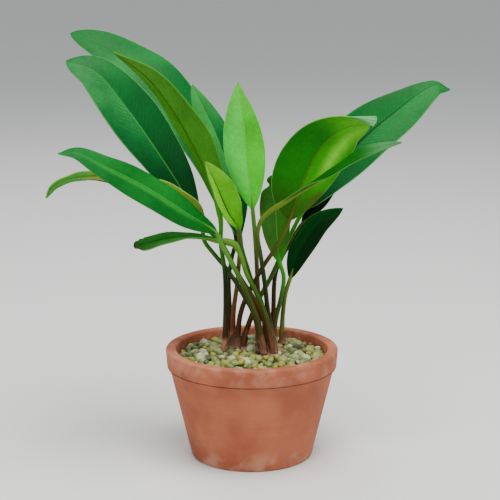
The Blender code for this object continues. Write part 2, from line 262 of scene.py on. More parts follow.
class BladeRecipe(Recipe):
    """The recipe of a blade's skin, which knows where on the blade a point lies."""

    CLOUDS = Cloud(28, 2)
    SPECKS = Cloud(420, 3)

    def __init__(self, name: str) -> None:
        """Start a new skin.

        Args:
            name: The material's name.
        """
        super().__init__(name)
        self.along, over = self.laid()
        self.side = self.sum("MULTIPLY_ADD", over, 2.0, -1.0)
        self.out = self.sum("ABSOLUTE", self.side)
        self.clouds = self.blotches(self.CLOUDS)
        self.specks = self.blotches(self.SPECKS)


@dataclass(frozen=True)
class Spot:
    """A darker patch on a blade, such as damage, by its middle and its reach along and across.

    along runs from 0 at the base to 1 at the tip, and across from -1 at the left margin to 1.
    """

    along: float
    across: float
    long: float
    wide: float
    soft: float = 0.35
    size: float = 1.25
    ragged: float = 0.9

    def cover(self, mix: BladeRecipe) -> Socket:
        """Where the patch lies.

        Args:
            mix: The skin's recipe.

        Returns:
            1 in the patch and 0 outside it.
        """
        first = mix.sum("DIVIDE", mix.sum("SUBTRACT", mix.along, self.along), self.long)
        second = mix.sum("DIVIDE", mix.sum("SUBTRACT", mix.side, self.across), self.wide)
        far = mix.sum("SQRT", mix.sum("MULTIPLY_ADD", first, first, mix.sum("MULTIPLY", second, second)))
        uneven = mix.sum("MULTIPLY_ADD", mix.specks, self.ragged, far)
        return mix.between(uneven, self.size + self.soft, self.size)


@dataclass(frozen=True)
class BladeFinish:
    """The skin on one side of a blade, with places and widths as shares of the blade's."""

    # left and right are the two halves' greens. Each is partly the leaf's own colour and partly painted
    # light and shade: the half turned to the light is painted paler, the half turned away darker.
    left: Colour
    right: Colour
    base: Colour
    tip: Colour
    rib: Colour
    edge: Colour
    seam: float = 0.06
    base_reach: float = 0.28
    tip_start: float = 0.62
    tip_end: float = 0.98
    tip_share: float = 0.85
    # band is a painted sheen, a paler streak laid along the blade where light glances off it. The fields
    # after it place it, size it and fade it in from the base.
    band: Colour | None = None
    sheen_place: float = 0.55
    sheen_width: float = 0.25
    sheen_from: float = -0.3
    sheen_rise: float = 0.3
    sheen_blur: float = 0.1
    sheen_wave: float = 0.3
    cloud_tones: Pair = (0.8, 1.08)
    speck_tones: Pair = (0.0, 0.12)
    veins: float = 38.0
    vein_start: float = 0.74
    small_veins: float = 4.0
    small_start: float = 0.5
    small_share: float = 0.4
    # How much lighter the veins are painted on the left and right halves: painted highlights on the blade's
    # faint puckering, stronger on a half turned to the light.
    vein_highlight: Pair = (0.16, 0.16)
    vein_seam: float = 0.05
    vein_lean: float = 0.13
    vein_bend: float = 0.06
    sway: Cloud = Cloud(26, 4)
    vein_sway: float = 0.07
    patches: Cloud = Cloud(75, 2)
    patch_range: Pair = (0.3, 0.65)
    patch_tones: Pair = (0.25, 1.2)
    margin_range: Pair = (1.0, 0.75)
    margin_veins: float = 0.3
    vein_relief: Pair = (-0.6, -0.2)
    speck_relief: float = 0.4
    edge_width: float = 0.02
    edge_wave: float = 0.03
    edge_end: float = 1.01
    rib_width: float = 0.035
    rib_taper: Pair = (1.5, 0.6)
    rib_blur: float = 0.35
    spot_colour: Colour = (104, 66, 30)
    spots: tuple[Spot, ...] = ()
    depth: float = 1.45
    roughness: float = 0.42
    roughening: Pair = (-0.05, 0.07)
    relief: Pair = (0.5, 0.35)
    gloss: float = 0.07

    def material(self, name: str) -> bpy.types.Material:
        """The skin: two halves of their own green, partly painted light and shade, veins painted lighter as
        highlights, the midrib, the margin and darker patches such as damage.

        Args:
            name: The material's name.

        Returns:
            The material.
        """
        mix = BladeRecipe(name)
        tone = mix.sum("ADD", mix.toned(mix.clouds, *self.cloud_tones),
                       mix.toned(mix.specks, *self.speck_tones))
        colour = mix.shaded(self.greens(mix), tone)
        main, small = self.vein_lines(mix)
        # The lighter veins are painted highlights.
        colour = mix.shaded(colour, self.painted_vein_highlights(mix, main, small))
        colour = self.bordered(mix, colour)
        for spot in self.spots:
            colour = mix.mixed(spot.cover(mix), colour, self.spot_colour)
        colour = mix.deepened(colour, self.depth)
        sunk = [mix.sum("MULTIPLY", line, share) for line, share in zip((main, small), self.vein_relief)]
        height = mix.sum("MULTIPLY_ADD", mix.specks, self.speck_relief, mix.sum("ADD", *sunk))
        rough = mix.toned(mix.clouds, *(self.roughness + more for more in self.roughening))
        return mix.finish(colour, rough, mix.relief(height, *self.relief), self.gloss)

    def greens(self, mix: BladeRecipe) -> Socket:
        """The greens of the two halves, partly painted light and shade, with the painted sheen band, the
        base and the tip.

        Args:
            mix: The skin's recipe.

        Returns:
            The colour.
        """
        # The two halves' greens carry painted light and shade.
        colour = mix.mixed(mix.between(mix.side, -self.seam, self.seam), self.left, self.right)
        # The band is a painted sheen along the blade.
        if self.band:
            near = mix.sum("ABSOLUTE", mix.sum("SUBTRACT", mix.side, self.sheen_place))
            wave = mix.sum("MULTIPLY_ADD", mix.clouds, self.sheen_wave, near)
            reach = mix.between(mix.along, self.sheen_from, self.sheen_from + self.sheen_rise)
            width = mix.between(wave, self.sheen_blur + self.sheen_width, self.sheen_blur)
            colour = mix.mixed(mix.sum("MULTIPLY", width, reach), colour, self.band)
        colour = mix.mixed(mix.between(mix.along, self.base_reach, 0.0), colour, self.base)
        end = mix.between(mix.along, self.tip_start, self.tip_end, 0.0, self.tip_share)
        return mix.mixed(end, colour, self.tip)

    def vein_lines(self, mix: BladeRecipe) -> tuple[Socket, Socket]:
        """The veins, which lean towards the tip as they run out to the margin.

        Args:
            mix: The skin's recipe.

        Returns:
            The main veins and the small ones between them, each 1 on a vein and 0 off it.
        """
        bend = mix.sum("MULTIPLY_ADD", mix.sum("POWER", mix.out, 3.0), self.vein_bend,
                       mix.sum("MULTIPLY", mix.out, self.vein_lean))
        run = mix.sum("MULTIPLY_ADD", mix.blotches(self.sway), self.vein_sway,
                      mix.sum("SUBTRACT", mix.along, bend))
        small = self.lines(mix, run, self.veins * self.small_veins, self.small_start)
        return self.lines(mix, run, self.veins, self.vein_start), small

    @staticmethod
    def lines(mix: BladeRecipe, run: Socket, count: float, start: float) -> Socket:
        """A count of lines at even steps along a run, whose edges lie at start from 0 to 1."""
        saw = mix.sum("PINGPONG", mix.sum("MULTIPLY", run, count), 0.5)
        return mix.between(mix.sum("MULTIPLY", saw, 2.0), start, 1.0)

    def painted_vein_highlights(self, mix: BladeRecipe, main: Socket, small: Socket) -> Socket:
        """How much lighter the veins are, patchily and less so near the margin: painted highlights where the
        blade's faint puckering catches the light.

        Args:
            mix: The skin's recipe.
            main: The main veins.
            small: The small veins.

        Returns:
            The tone, 1 where there is no vein.
        """
        share = mix.sum("MULTIPLY_ADD", small, self.small_share, main)
        patches = mix.between(mix.blotches(self.patches), *self.patch_range, *self.patch_tones)
        strength = mix.between(mix.side, -self.vein_seam, self.vein_seam, *self.vein_highlight)
        inner = mix.sum("MULTIPLY", strength, mix.between(mix.out, *self.margin_range, self.margin_veins))
        return mix.sum("ADD", mix.sum("MULTIPLY", mix.sum("MULTIPLY", share, patches), inner), 1.0)

    def bordered(self, mix: BladeRecipe, colour: Socket) -> Socket:
        """A colour with the margin's line and the midrib over it.

        Args:
            mix: The skin's recipe.
            colour: The colour.

        Returns:
            The colour with both.
        """
        reach = mix.sum("MULTIPLY_ADD", mix.specks, self.edge_wave, mix.out)
        colour = mix.mixed(mix.between(reach, 1.0 - self.edge_width, self.edge_end), colour, self.edge)
        wide, narrow = (self.rib_width * share for share in self.rib_taper)
        rib_edge = mix.between(mix.along, 0.0, 1.0, wide, narrow)
        rib = mix.between(mix.sum("DIVIDE", mix.out, rib_edge), 1.0, self.rib_blur)
        return mix.mixed(rib, colour, self.rib)


PALE_EDGE = (104, 164, 84)
# The usual underside: a yellow-green, partly its own paler colour and partly painted light shining through
# the blade.
UNDER = BladeFinish(
    left=(84, 132, 52), right=(80, 128, 50), base=(96, 134, 60), tip=(92, 142, 58),
    rib=(120, 150, 78), edge=PALE_EDGE, rib_width=0.03)


@dataclass(frozen=True)
class StalkFinish:
    """The skin of a stalk, from its foot in the gravel up to its keel under the blade."""

    foot: Colour = (166, 126, 100)
    low: Colour = (112, 94, 62)
    # The middle is a dark olive, partly the stalk's own colour and partly painted shade.
    middle: Colour = (74, 88, 36)
    top: Colour = (84, 140, 50)
    keel: Colour = (80, 140, 50)
    stops: tuple[float, ...] = (0.0, 0.05, 0.12, 0.34, 0.66, 0.9)
    uneven: float = 0.05
    patches: Cloud = Cloud(70, 3)
    patch_range: Pair = (0.2, 0.8)
    streaks: Cloud = Cloud(3.0, 3, (1.5, 9.0, 1.0))
    streak_range: Pair = (0.3, 0.72)
    streak_tones: Pair = (0.72, 1.12)
    grain: Cloud = Cloud(600, 2)
    grain_relief: float = 0.3
    depth: float = 1.45
    roughness: float = 0.4
    relief: Pair = (0.4, 0.25)
    gloss: float = 0.1

    def material(self, name: str) -> bpy.types.Material:
        """The stalk's colours over its length, with fine streaks along it.

        Args:
            name: The material's name.

        Returns:
            The material.
        """
        mix = Recipe(name)
        along, _ = mix.laid()
        shift = mix.between(mix.blotches(self.patches), *self.patch_range, -self.uneven, self.uneven)
        run = mix.sum("ADD", along, shift)
        colours = (self.foot, self.foot, self.low, self.middle, self.top, self.keel)
        colour = mix.deepened(mix.steps(run, list(zip(self.stops, colours))), self.depth)
        streaks = mix.blotches(self.streaks, mix.chart())
        colour = mix.shaded(colour, mix.between(streaks, *self.streak_range, *self.streak_tones))
        height = mix.sum("MULTIPLY_ADD", mix.blotches(self.grain), self.grain_relief, streaks)
        return mix.finish(colour, self.roughness, mix.relief(height, *self.relief), self.gloss)


@dataclass(frozen=True)
class ClayFinish:
    """Fired terracotta with fine speckles, faint turning lines and a pale bloom low and high."""

    body: Colour = (176, 102, 72)
    deep: Colour = (150, 80, 54)
    bloom: Colour = (196, 150, 124)
    speck: Colour = (112, 62, 44)
    cloud: Cloud = Cloud(32, 4)
    cloud_range: Pair = (0.34, 0.68)
    lines: Cloud = Cloud(9, 3, (4.0, 4.0, 160.0))
    line_range: Pair = (0.45, 0.7)
    line_share: float = 0.22
    line_relief: float = 0.8
    salt: Cloud = Cloud(85, 5)
    salt_range: Pair = (0.42, 0.68)
    low_bloom: Triple = (0.0, 0.022, 0.55)
    high_bloom: Triple = (0.058, 0.076, 0.4)
    grit: Cloud = Cloud(1500, 2)
    grit_range: Pair = (0.66, 0.74)
    grit_share: float = 0.6
    grit_relief: float = 0.5
    roughness: Pair = (0.78, 0.9)
    relief: Pair = (0.5, 0.4)
    gloss: float = 0.25

    def material(self) -> bpy.types.Material:
        """The clay, whose blooms are given by two heights in metres and a share.

        Returns:
            The material.
        """
        mix = Recipe("terracotta")
        height = mix.step("ShaderNodeSeparateXYZ", {0: mix.place()}).outputs["Z"]
        cloud = mix.blotches(self.cloud)
        colour = mix.mixed(mix.between(cloud, *self.cloud_range), self.deep, self.body)
        lines = mix.blotches(self.lines)
        colour = mix.mixed(mix.between(lines, *self.line_range, 0.0, self.line_share), colour, self.deep)
        damp = mix.sum("ADD", mix.between(height, *self.low_bloom, 0.0),
                       mix.between(height, *self.high_bloom[:2], 0.0, self.high_bloom[2]))
        salt = mix.sum("MULTIPLY", damp, mix.between(mix.blotches(self.salt), *self.salt_range))
        colour = mix.mixed(salt, colour, self.bloom)
        grit = mix.blotches(self.grit)
        colour = mix.mixed(mix.between(grit, *self.grit_range, 0.0, self.grit_share), colour, self.speck)
        rise = mix.sum("ADD", mix.sum("MULTIPLY", lines, self.line_relief),
                       mix.sum("MULTIPLY", grit, self.grit_relief))
        rough = mix.toned(cloud, *self.roughness)
        return mix.finish(colour, rough, mix.relief(rise, *self.relief), self.gloss)


@dataclass(frozen=True)
class GrainFinish:
    """Rounded grains of quartz gravel, each of its own colour."""

    palette: tuple[tuple[float, Colour], ...] = (
        (0.0, (150, 155, 92)), (0.16, (130, 142, 80)), (0.30, (154, 150, 66)),
        (0.44, (182, 186, 142)), (0.54, (108, 122, 70)), (0.66, (146, 146, 60)),
        (0.76, (140, 152, 98)), (0.86, (92, 100, 56)), (0.93, (118, 98, 52)),
        (0.965, (64, 64, 42)))
    stain: Colour = (140, 120, 50)
    stains: Cloud = Cloud(190, 3)
    stain_range: Pair = (0.6, 0.74)
    stain_share: float = 0.35
    cloud: Cloud = Cloud(330, 4)
    cloud_tones: Pair = (0.74, 1.1)
    grit: Cloud = Cloud(1400, 2)
    grit_relief: float = 0.4
    attribute: str = "grain"
    roughness: Pair = (0.36, 0.55)
    relief: Pair = (0.5, 0.5)
    gloss: float = 0.35

    def material(self) -> bpy.types.Material:
        """The grains' colours, each faintly veined and clouded.

        Returns:
            The material.
        """
        mix = Recipe("gravel_grains")
        chance = mix.step("ShaderNodeAttribute", {}, attribute_name=self.attribute).outputs["Fac"]
        cloud = mix.blotches(self.cloud)
        colour = mix.steps(chance, list(self.palette), sharp=True)
        colour = mix.shaded(colour, mix.toned(cloud, *self.cloud_tones))
        stained = mix.between(mix.blotches(self.stains), *self.stain_range, 0.0, self.stain_share)
        colour = mix.mixed(stained, colour, self.stain)
        rise = mix.sum("MULTIPLY_ADD", mix.blotches(self.grit), self.grit_relief, cloud)
        rough = mix.toned(cloud, *self.roughness)
        return mix.finish(colour, rough, mix.relief(rise, *self.relief), self.gloss)


@dataclass(frozen=True)
class BedFinish:
    """The shaded depth of the gravel between its upper grains."""

    light: Colour = (118, 118, 74)
    dark: Colour = (44, 44, 26)
    cells: float = 210.0
    cell_range: Pair = (0.15, 0.6)
    roughness: float = 0.7
    relief: Pair = (0.9, 1.5)

    def material(self) -> bpy.types.Material:
        """Grains that are only just made out.

        Returns:
            The material.
        """
        mix = Recipe("gravel_depth")
        sources = {"Vector": mix.place(), "Scale": self.cells}
        cells = mix.step("ShaderNodeTexVoronoi", sources).outputs["Distance"]
        colour = mix.mixed(mix.between(cells, *self.cell_range), self.light, self.dark)
        return mix.finish(colour, self.roughness, mix.relief(mix.sum("MULTIPLY", cells, -1.0), *self.relief))


@dataclass(frozen=True)
class CrownFinish:
    """The creeping stem's bark and the papery sheaths at the stalks' feet."""

    bark: Colour = (92, 64, 44)
    fresh: Colour = (150, 104, 88)
    scar: Colour = (34, 26, 20)
    sheath: Colour = (112, 74, 56)
    cloud: Cloud = Cloud(120, 4)
    cloud_range: Pair = (0.35, 0.65)
    rings: Cloud = Cloud(14, 3, (26.0, 3.0, 3.0))
    ring_range: Pair = (0.5, 0.66)
    ring_share: float = 0.85
    cloud_relief: float = 0.5
    bark_roughness: float = 0.6
    bark_relief: Pair = (0.7, 0.9)
    streaks: Cloud = Cloud(4.0, 4, (1.0, 7.0, 1.0))
    streak_range: Pair = (0.25, 0.75)
    uneven: float = 0.2
    stops: tuple[float, ...] = (0.0, 0.35, 0.75)
    sheath_roughness: float = 0.55
    sheath_relief: Pair = (0.6, 0.4)

    def stem_material(self) -> bpy.types.Material:
        """Bark with ring scars and pinkish young growth.

        Returns:
            The material.
        """
        mix = Recipe("creeping_stem")
        rings = mix.blotches(self.rings)
        cloud = mix.blotches(self.cloud)
        colour = mix.mixed(mix.between(cloud, *self.cloud_range), self.bark, self.fresh)
        colour = mix.mixed(mix.between(rings, *self.ring_range, 0.0, self.ring_share), colour, self.scar)
        rise = mix.sum("SUBTRACT", mix.sum("MULTIPLY", cloud, self.cloud_relief), rings)
        return mix.finish(colour, self.bark_roughness, mix.relief(rise, *self.bark_relief))

    def sheath_material(self) -> bpy.types.Material:
        """Thin sheaths that are pink at the foot and dark and dry at their points.

        Returns:
            The material.
        """
        mix = Recipe("dry_sheaths")
        along, _ = mix.laid()
        streaks = mix.blotches(self.streaks, mix.chart())
        run = mix.sum("ADD", along, mix.between(streaks, *self.streak_range, -self.uneven, self.uneven))
        colour = mix.steps(run, list(zip(self.stops, (self.fresh, self.sheath, self.bark))))
        return mix.finish(colour, self.sheath_roughness, mix.relief(streaks, *self.sheath_relief))


# Shared ways of working

@contextmanager
def editing(thing: Thing) -> Iterator[bmesh.types.BMesh]:
    """Open an object in edit mode and close it again.

    Args:
        thing: The object.

    Yields:
        Its mesh as it is being edited.
    """
    bpy.context.view_layer.objects.active = thing
    bpy.ops.object.mode_set(mode="EDIT")
    bpy.ops.mesh.select_mode(type="FACE")
    yield bmesh.from_edit_mesh(thing.data)
    bpy.ops.object.mode_set(mode="OBJECT")


def started() -> Thing:
    """The primitive that was just added, which is left as the only selected object."""
    return bpy.context.active_object


def clear_choice() -> None:
    """Deselect every object."""
    bpy.ops.object.select_all(action="DESELECT")


def choose_faces(mesh: bmesh.types.BMesh, wanted: Any) -> None:
    """Select the faces that pass a test, and no others.

    Args:
        mesh: The mesh in edit mode.
        wanted: Takes a face and says whether it is wanted.
    """
    for face in mesh.faces:
        face.select_set(False)
    for face in mesh.faces:
        if wanted(face):
            face.select_set(True)
    mesh.select_flush_mode()


def faces_up(face: bmesh.types.BMFace) -> bool:
    """Whether a face points up."""
    return face.normal.z > UPRIGHT


def faces_down(face: bmesh.types.BMFace) -> bool:
    """Whether a face points down."""
    return face.normal.z < -UPRIGHT


def choose_edges(mesh: bmesh.types.BMesh, wanted: Any) -> None:
    """Select the edges that pass a test, and no others.

    Args:
        mesh: The mesh in edit mode.
        wanted: Takes an edge and says whether it is wanted.
    """
    bpy.ops.mesh.select_mode(type="EDGE")
    for edge in mesh.edges:
        edge.select_set(wanted(edge))
    mesh.select_flush_mode()


def joined(name: str, *things: Thing) -> Thing:
    """Several objects as one.

    Args:
        name: The new name.
        things: The objects, the first of which takes in the others.

    Returns:
        The joined object.
    """
    clear_choice()
    for thing in things:
        thing.select_set(True)
    bpy.context.view_layer.objects.active = things[0]
    if len(things) > 1:
        bpy.ops.object.join()
    things[0].name = name
    things[0].data.name = name
    return things[0]


def settled(thing: Thing, angle: float = 50.0) -> Thing:
    """Put an object's place into its mesh and shade it smooth up to an angle.

    Args:
        thing: The object.
        angle: Edges sharper than this stay crisp, in degrees.

    Returns:
        The same object.
    """
    clear_choice()
    thing.select_set(True)
    bpy.context.view_layer.objects.active = thing
    bpy.ops.object.transform_apply(location=True, rotation=True, scale=True)
    bpy.ops.object.shade_smooth_by_angle(angle=math.radians(angle))
    return thing


def hand_over(piece: Thing, node: str, replaces: bool = True) -> None:
    """Let a piece ride on the model and stand for one of its nodes.

    Args:
        piece: The finished piece.
        node: The node that it stands for.
        replaces: Whether the node is hidden for it.
    """
    if replaces:
        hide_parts(node)
    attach(piece, BODY)
    log.info("%s: %d faces", piece.name, len(piece.data.polygons))


def thickened(sheet: Thing, thickness: float) -> Thing:
    """Give a sheet its thickness, with its second finish, if it has one, on its upper side.

    Args:
        sheet: The sheet.
        thickness: Its thickness in millimetres.

    Returns:
        The same sheet.
    """
    wall = sheet.modifiers.new("thickness", "SOLIDIFY")
    wall.thickness = thickness * MM
    wall.offset = 0.0
    wall.material_offset = 1
    bpy.ops.object.modifier_apply(modifier=wall.name)
    return sheet


def formed_grid(along: int, across: int, rule: Callable[[float, float], tuple[Vector, Pair]]) -> Thing:
    """A sheet of cells, each point of which a rule puts in its place and on the sheet's map.

    Args:
        along: How many cells it has along.
        across: How many cells it has across.
        rule: Takes a point's shares along and across, from 0 to 1, and gives its place in
            millimetres and its place on the map.

    Returns:
        The sheet.
    """
    clear_choice()
    bpy.ops.mesh.primitive_grid_add(x_subdivisions=along, y_subdivisions=across, size=2)
    sheet = started()
    chart = []
    for vertex in sheet.data.vertices:
        place, spot = rule((vertex.co.x + 1) / 2, (vertex.co.y + 1) / 2)
        vertex.co = place * MM
        chart.append(spot)
    uv = sheet.data.uv_layers[0].data
    for loop in sheet.data.loops:
        uv[loop.index].uv = chart[loop.vertex_index]
    return sheet


def formed_ball(segments: int, rings: int, rule: Callable[[Vector], Vector]) -> Thing:
    """A ball, each point of which a rule puts in its place.

    Args:
        segments: How many sides it has round its axis.
        rings: How many rings it has from pole to pole.
        rule: Takes a point of a ball of radius 1 and gives its place in millimetres.

    Returns:
        The shaped ball.
    """
    clear_choice()
    bpy.ops.mesh.primitive_uv_sphere_add(segments=segments, ring_count=rings, radius=1)
    ball = started()
    for vertex in ball.data.vertices:
        vertex.co = rule(vertex.co) * MM
    return ball


def extruded(rise: float) -> None:
    """Raise the selected faces by a height."""
    bpy.ops.mesh.extrude_region_move(TRANSFORM_OT_translate={"value": (0, 0, rise * MM)})


def widened(share: float, height: float) -> None:
    """Widen or narrow what is selected by a share, at a height on the pot's axis."""
    bpy.ops.transform.resize(value=(share, share, 1), center_override=(0, 0, height * MM))


# The leaves' shapes

@dataclass(frozen=True)
class Sight:
    """The reference view in which the leaves' curves are laid out."""

    target: Triple = (-1.3, 0.0, 199.3)
    distance: float = 1000.0
    tilt: float = 9.0
    scale: float = 0.65
    middle: float = 250.0

    @property
    def ahead(self) -> Vector:
        """The direction of view."""
        tilt = math.radians(self.tilt)
        return Vector((0, math.cos(tilt), -math.sin(tilt)))

    @property
    def up(self) -> Vector:
        """What is up in the view."""
        tilt = math.radians(self.tilt)
        return Vector((0, math.sin(tilt), math.cos(tilt)))

    @property
    def eye(self) -> Vector:
        """Where the view is taken from."""
        return Vector(self.target) - self.ahead * self.distance

    def place(self, across: float, down: float, depth: float) -> Vector:
        """Where the line of sight through a point of the view reaches a depth.

        Args:
            across: The point's steps from the view's left.
            down: Its steps from the view's top.
            depth: The depth, along +Y.

        Returns:
            The place in millimetres.
        """
        step = self.scale / self.distance
        right = Vector((1, 0, 0)) * (across - self.middle) * step
        sight = self.ahead + right + self.up * (self.middle - down) * step
        return self.eye + sight * ((depth - self.eye.y) / sight.y)


SIGHT = Sight()


@dataclass(frozen=True)
class Half:
    """One half of a blade: its greatest width and how bluntly its base and tip close."""

    width: float
    base: float
    tip: float
    least: float = 0.5

    def at(self, t: float) -> float:
        """Width from the midrib to the margin.

        Args:
            t: The place along the blade, from 0 at the base to 1 at the tip.

        Returns:
            The width in millimetres.
        """
        widest = self.base / (self.base + self.tip)
        t = min(max(t, 0.0), 1.0)
        shape = (t / widest) ** self.base * ((1 - t) / (1 - widest)) ** self.tip
        return max(self.width * shape, self.least)


@dataclass(frozen=True)
class Notch:
    """A bite out of one margin, as a share of the half's width at its deepest."""

    along: float
    side: int
    reach: float
    depth: float


@dataclass(frozen=True)
class Lip:
    """The end of a blade that is folded over: where its fold begins and its two free corners.

    The fold starts from the blade a little inside its margin. The chart gives, along and across,
    where on the blade's map the end begins and how much of the map it takes.
    """

    start: float
    high: Seen
    low: Seen
    bulge: float = 1.4
    end: float = 0.985
    margin: float = 0.94
    flat: float = 0.4
    thin: float = 0.8
    chart: tuple[Pair, Pair] = ((0.8, 0.2), (0.25, 0.5))
    cells: tuple[int, int] = (16, 8)


@dataclass(frozen=True)
class Leaf:
    """A leaf: where its stalk stands, the stalk, the midrib, its halves and the way it faces."""

    foot: Pair
    stalk: tuple[Seen, ...]
    rib: tuple[Seen, ...]
    left: Half
    right: Half
    face: Triple
    face_tip: Triple | None = None
    fold: float = 12.0
    cup: float = 0.2
    wave: float = 0.5
    waves: float = 3.0
    turn: float = 0.0
    keel: float = 1.0
    neck: float = 0.0
    notches: tuple[Notch, ...] = ()
    lip: Lip | None = None


def blossom(control: tuple[Vector, ...], knots: list[float], k: float) -> Vector:
    """A point on the curve piece that four control points make.

    Args:
        control: The four points.
        knots: Their knot values.
        k: The knot value that is wanted.

    Returns:
        The point.
    """
    spans = [
        control[i].lerp(control[i + 1], (k - knots[i]) / (knots[i + 1] - knots[i])) for i in range(3)]
    first = spans[0].lerp(spans[1], (k - knots[0]) / (knots[2] - knots[0]))
    second = spans[1].lerp(spans[2], (k - knots[1]) / (knots[3] - knots[1]))
    return first.lerp(second, (k - knots[1]) / (knots[2] - knots[1]))


def smooth_path(points: list[Vector], steps: int) -> list[Vector]:
    """A fine run of points along a smooth curve through given ones.

    Args:
        points: The points that the curve passes.
        steps: Fine points for each stretch between two of them.

    Returns:
        The fine points.
    """
    ends = [2 * points[0] - points[1], *points, 2 * points[-1] - points[-2]]
    fine = []
    for control in zip(ends, ends[1:], ends[2:], ends[3:]):
        knots = [0.0]
        for near, far in zip(control, control[1:]):
            knots.append(knots[-1] + math.sqrt((far - near).length))
        for step in range(steps):
            fine.append(blossom(control, knots, knots[1] + (knots[2] - knots[1]) * step / steps))
    fine.append(points[-1].copy())
    return fine


class Track:
    """A run of points that can be read at any share of its length."""

    STEP = 0.01

    def __init__(self, points: list[Vector]) -> None:
        """Measure the run.

        Args:
            points: Its points.
        """
        self.points = points
        self.marks = [0.0]
        for near, far in zip(points, points[1:]):
            self.marks.append(self.marks[-1] + (far - near).length)

    def at(self, share: float) -> Vector:
        """The point at a share of the length.

        Args:
            share: The share, from 0 to 1.

        Returns:
            The point.
        """
        wanted = min(max(share, 0.0), 1.0) * self.marks[-1]
        last = len(self.points) - 2
        index = next((i for i in range(last) if self.marks[i + 1] >= wanted), last)
        step = self.marks[index + 1] - self.marks[index]
        return self.points[index].lerp(self.points[index + 1], (wanted - self.marks[index]) / step)

    def heading(self, share: float) -> Vector:
        """The unit direction of travel at a share of the length, from 0 to 1."""
        return (self.at(share + self.STEP) - self.at(share - self.STEP)).normalized()


@dataclass
class LeafForm:
    """The curves and the surface of one leaf, worked out from its description."""

    leaf: Leaf
    foot_height: float = 80.8
    path_steps: int = 16
    wave_lag: float = 1.9
    full_wave: float = 8.0
    stalk: Track = field(init=False)
    rib: Track = field(init=False)

    def __post_init__(self) -> None:
        """Lay the stalk's and the midrib's curves."""
        foot = Vector((*self.leaf.foot, self.foot_height))
        places = [SIGHT.place(*seen) for seen in self.leaf.stalk + self.leaf.rib]
        fine = smooth_path([foot] + places, self.path_steps)
        join = (1 + len(self.leaf.stalk)) * self.path_steps
        self.stalk = Track(fine[:join + 1])
        self.rib = Track(fine[join:])

    def across(self, t: float) -> tuple[Vector, Vector]:
        """The directions across the blade and out of its upper side.

        Args:
            t: The place along the midrib, from 0 to 1.

        Returns:
            The two directions.
        """
        face = Vector(self.leaf.face).lerp(Vector(self.leaf.face_tip or self.leaf.face), t)
        along = self.rib.heading(t)
        side = along.cross(face).normalized()
        return side, side.cross(along).normalized()

    def surface(self, t: float, s: float) -> Vector:
        """A point of the blade.

        Args:
            t: The place from the base, 0, to the tip, 1.
            s: The place from the left margin, -1, to the right one, 1.

        Returns:
            The point in millimetres.
        """
        leaf = self.leaf
        side, up = self.across(t)
        width = (leaf.left if s < 0 else leaf.right).at(t)
        for notch in leaf.notches:
            if notch.side * s > 0:
                width *= 1 - notch.depth * math.exp(-(((t - notch.along) / notch.reach) ** 2))
        fold = math.radians(leaf.fold)
        rise = width * (abs(s) * math.sin(fold) - leaf.cup * s * s)
        swing = math.sin(2 * math.pi * leaf.waves * t + leaf.turn + (0.0 if s < 0 else self.wave_lag))
        rise += leaf.wave * s * s * swing * min(1.0, width / self.full_wave)
        return self.rib.at(t) + side * (width * s * math.cos(fold)) + up * rise


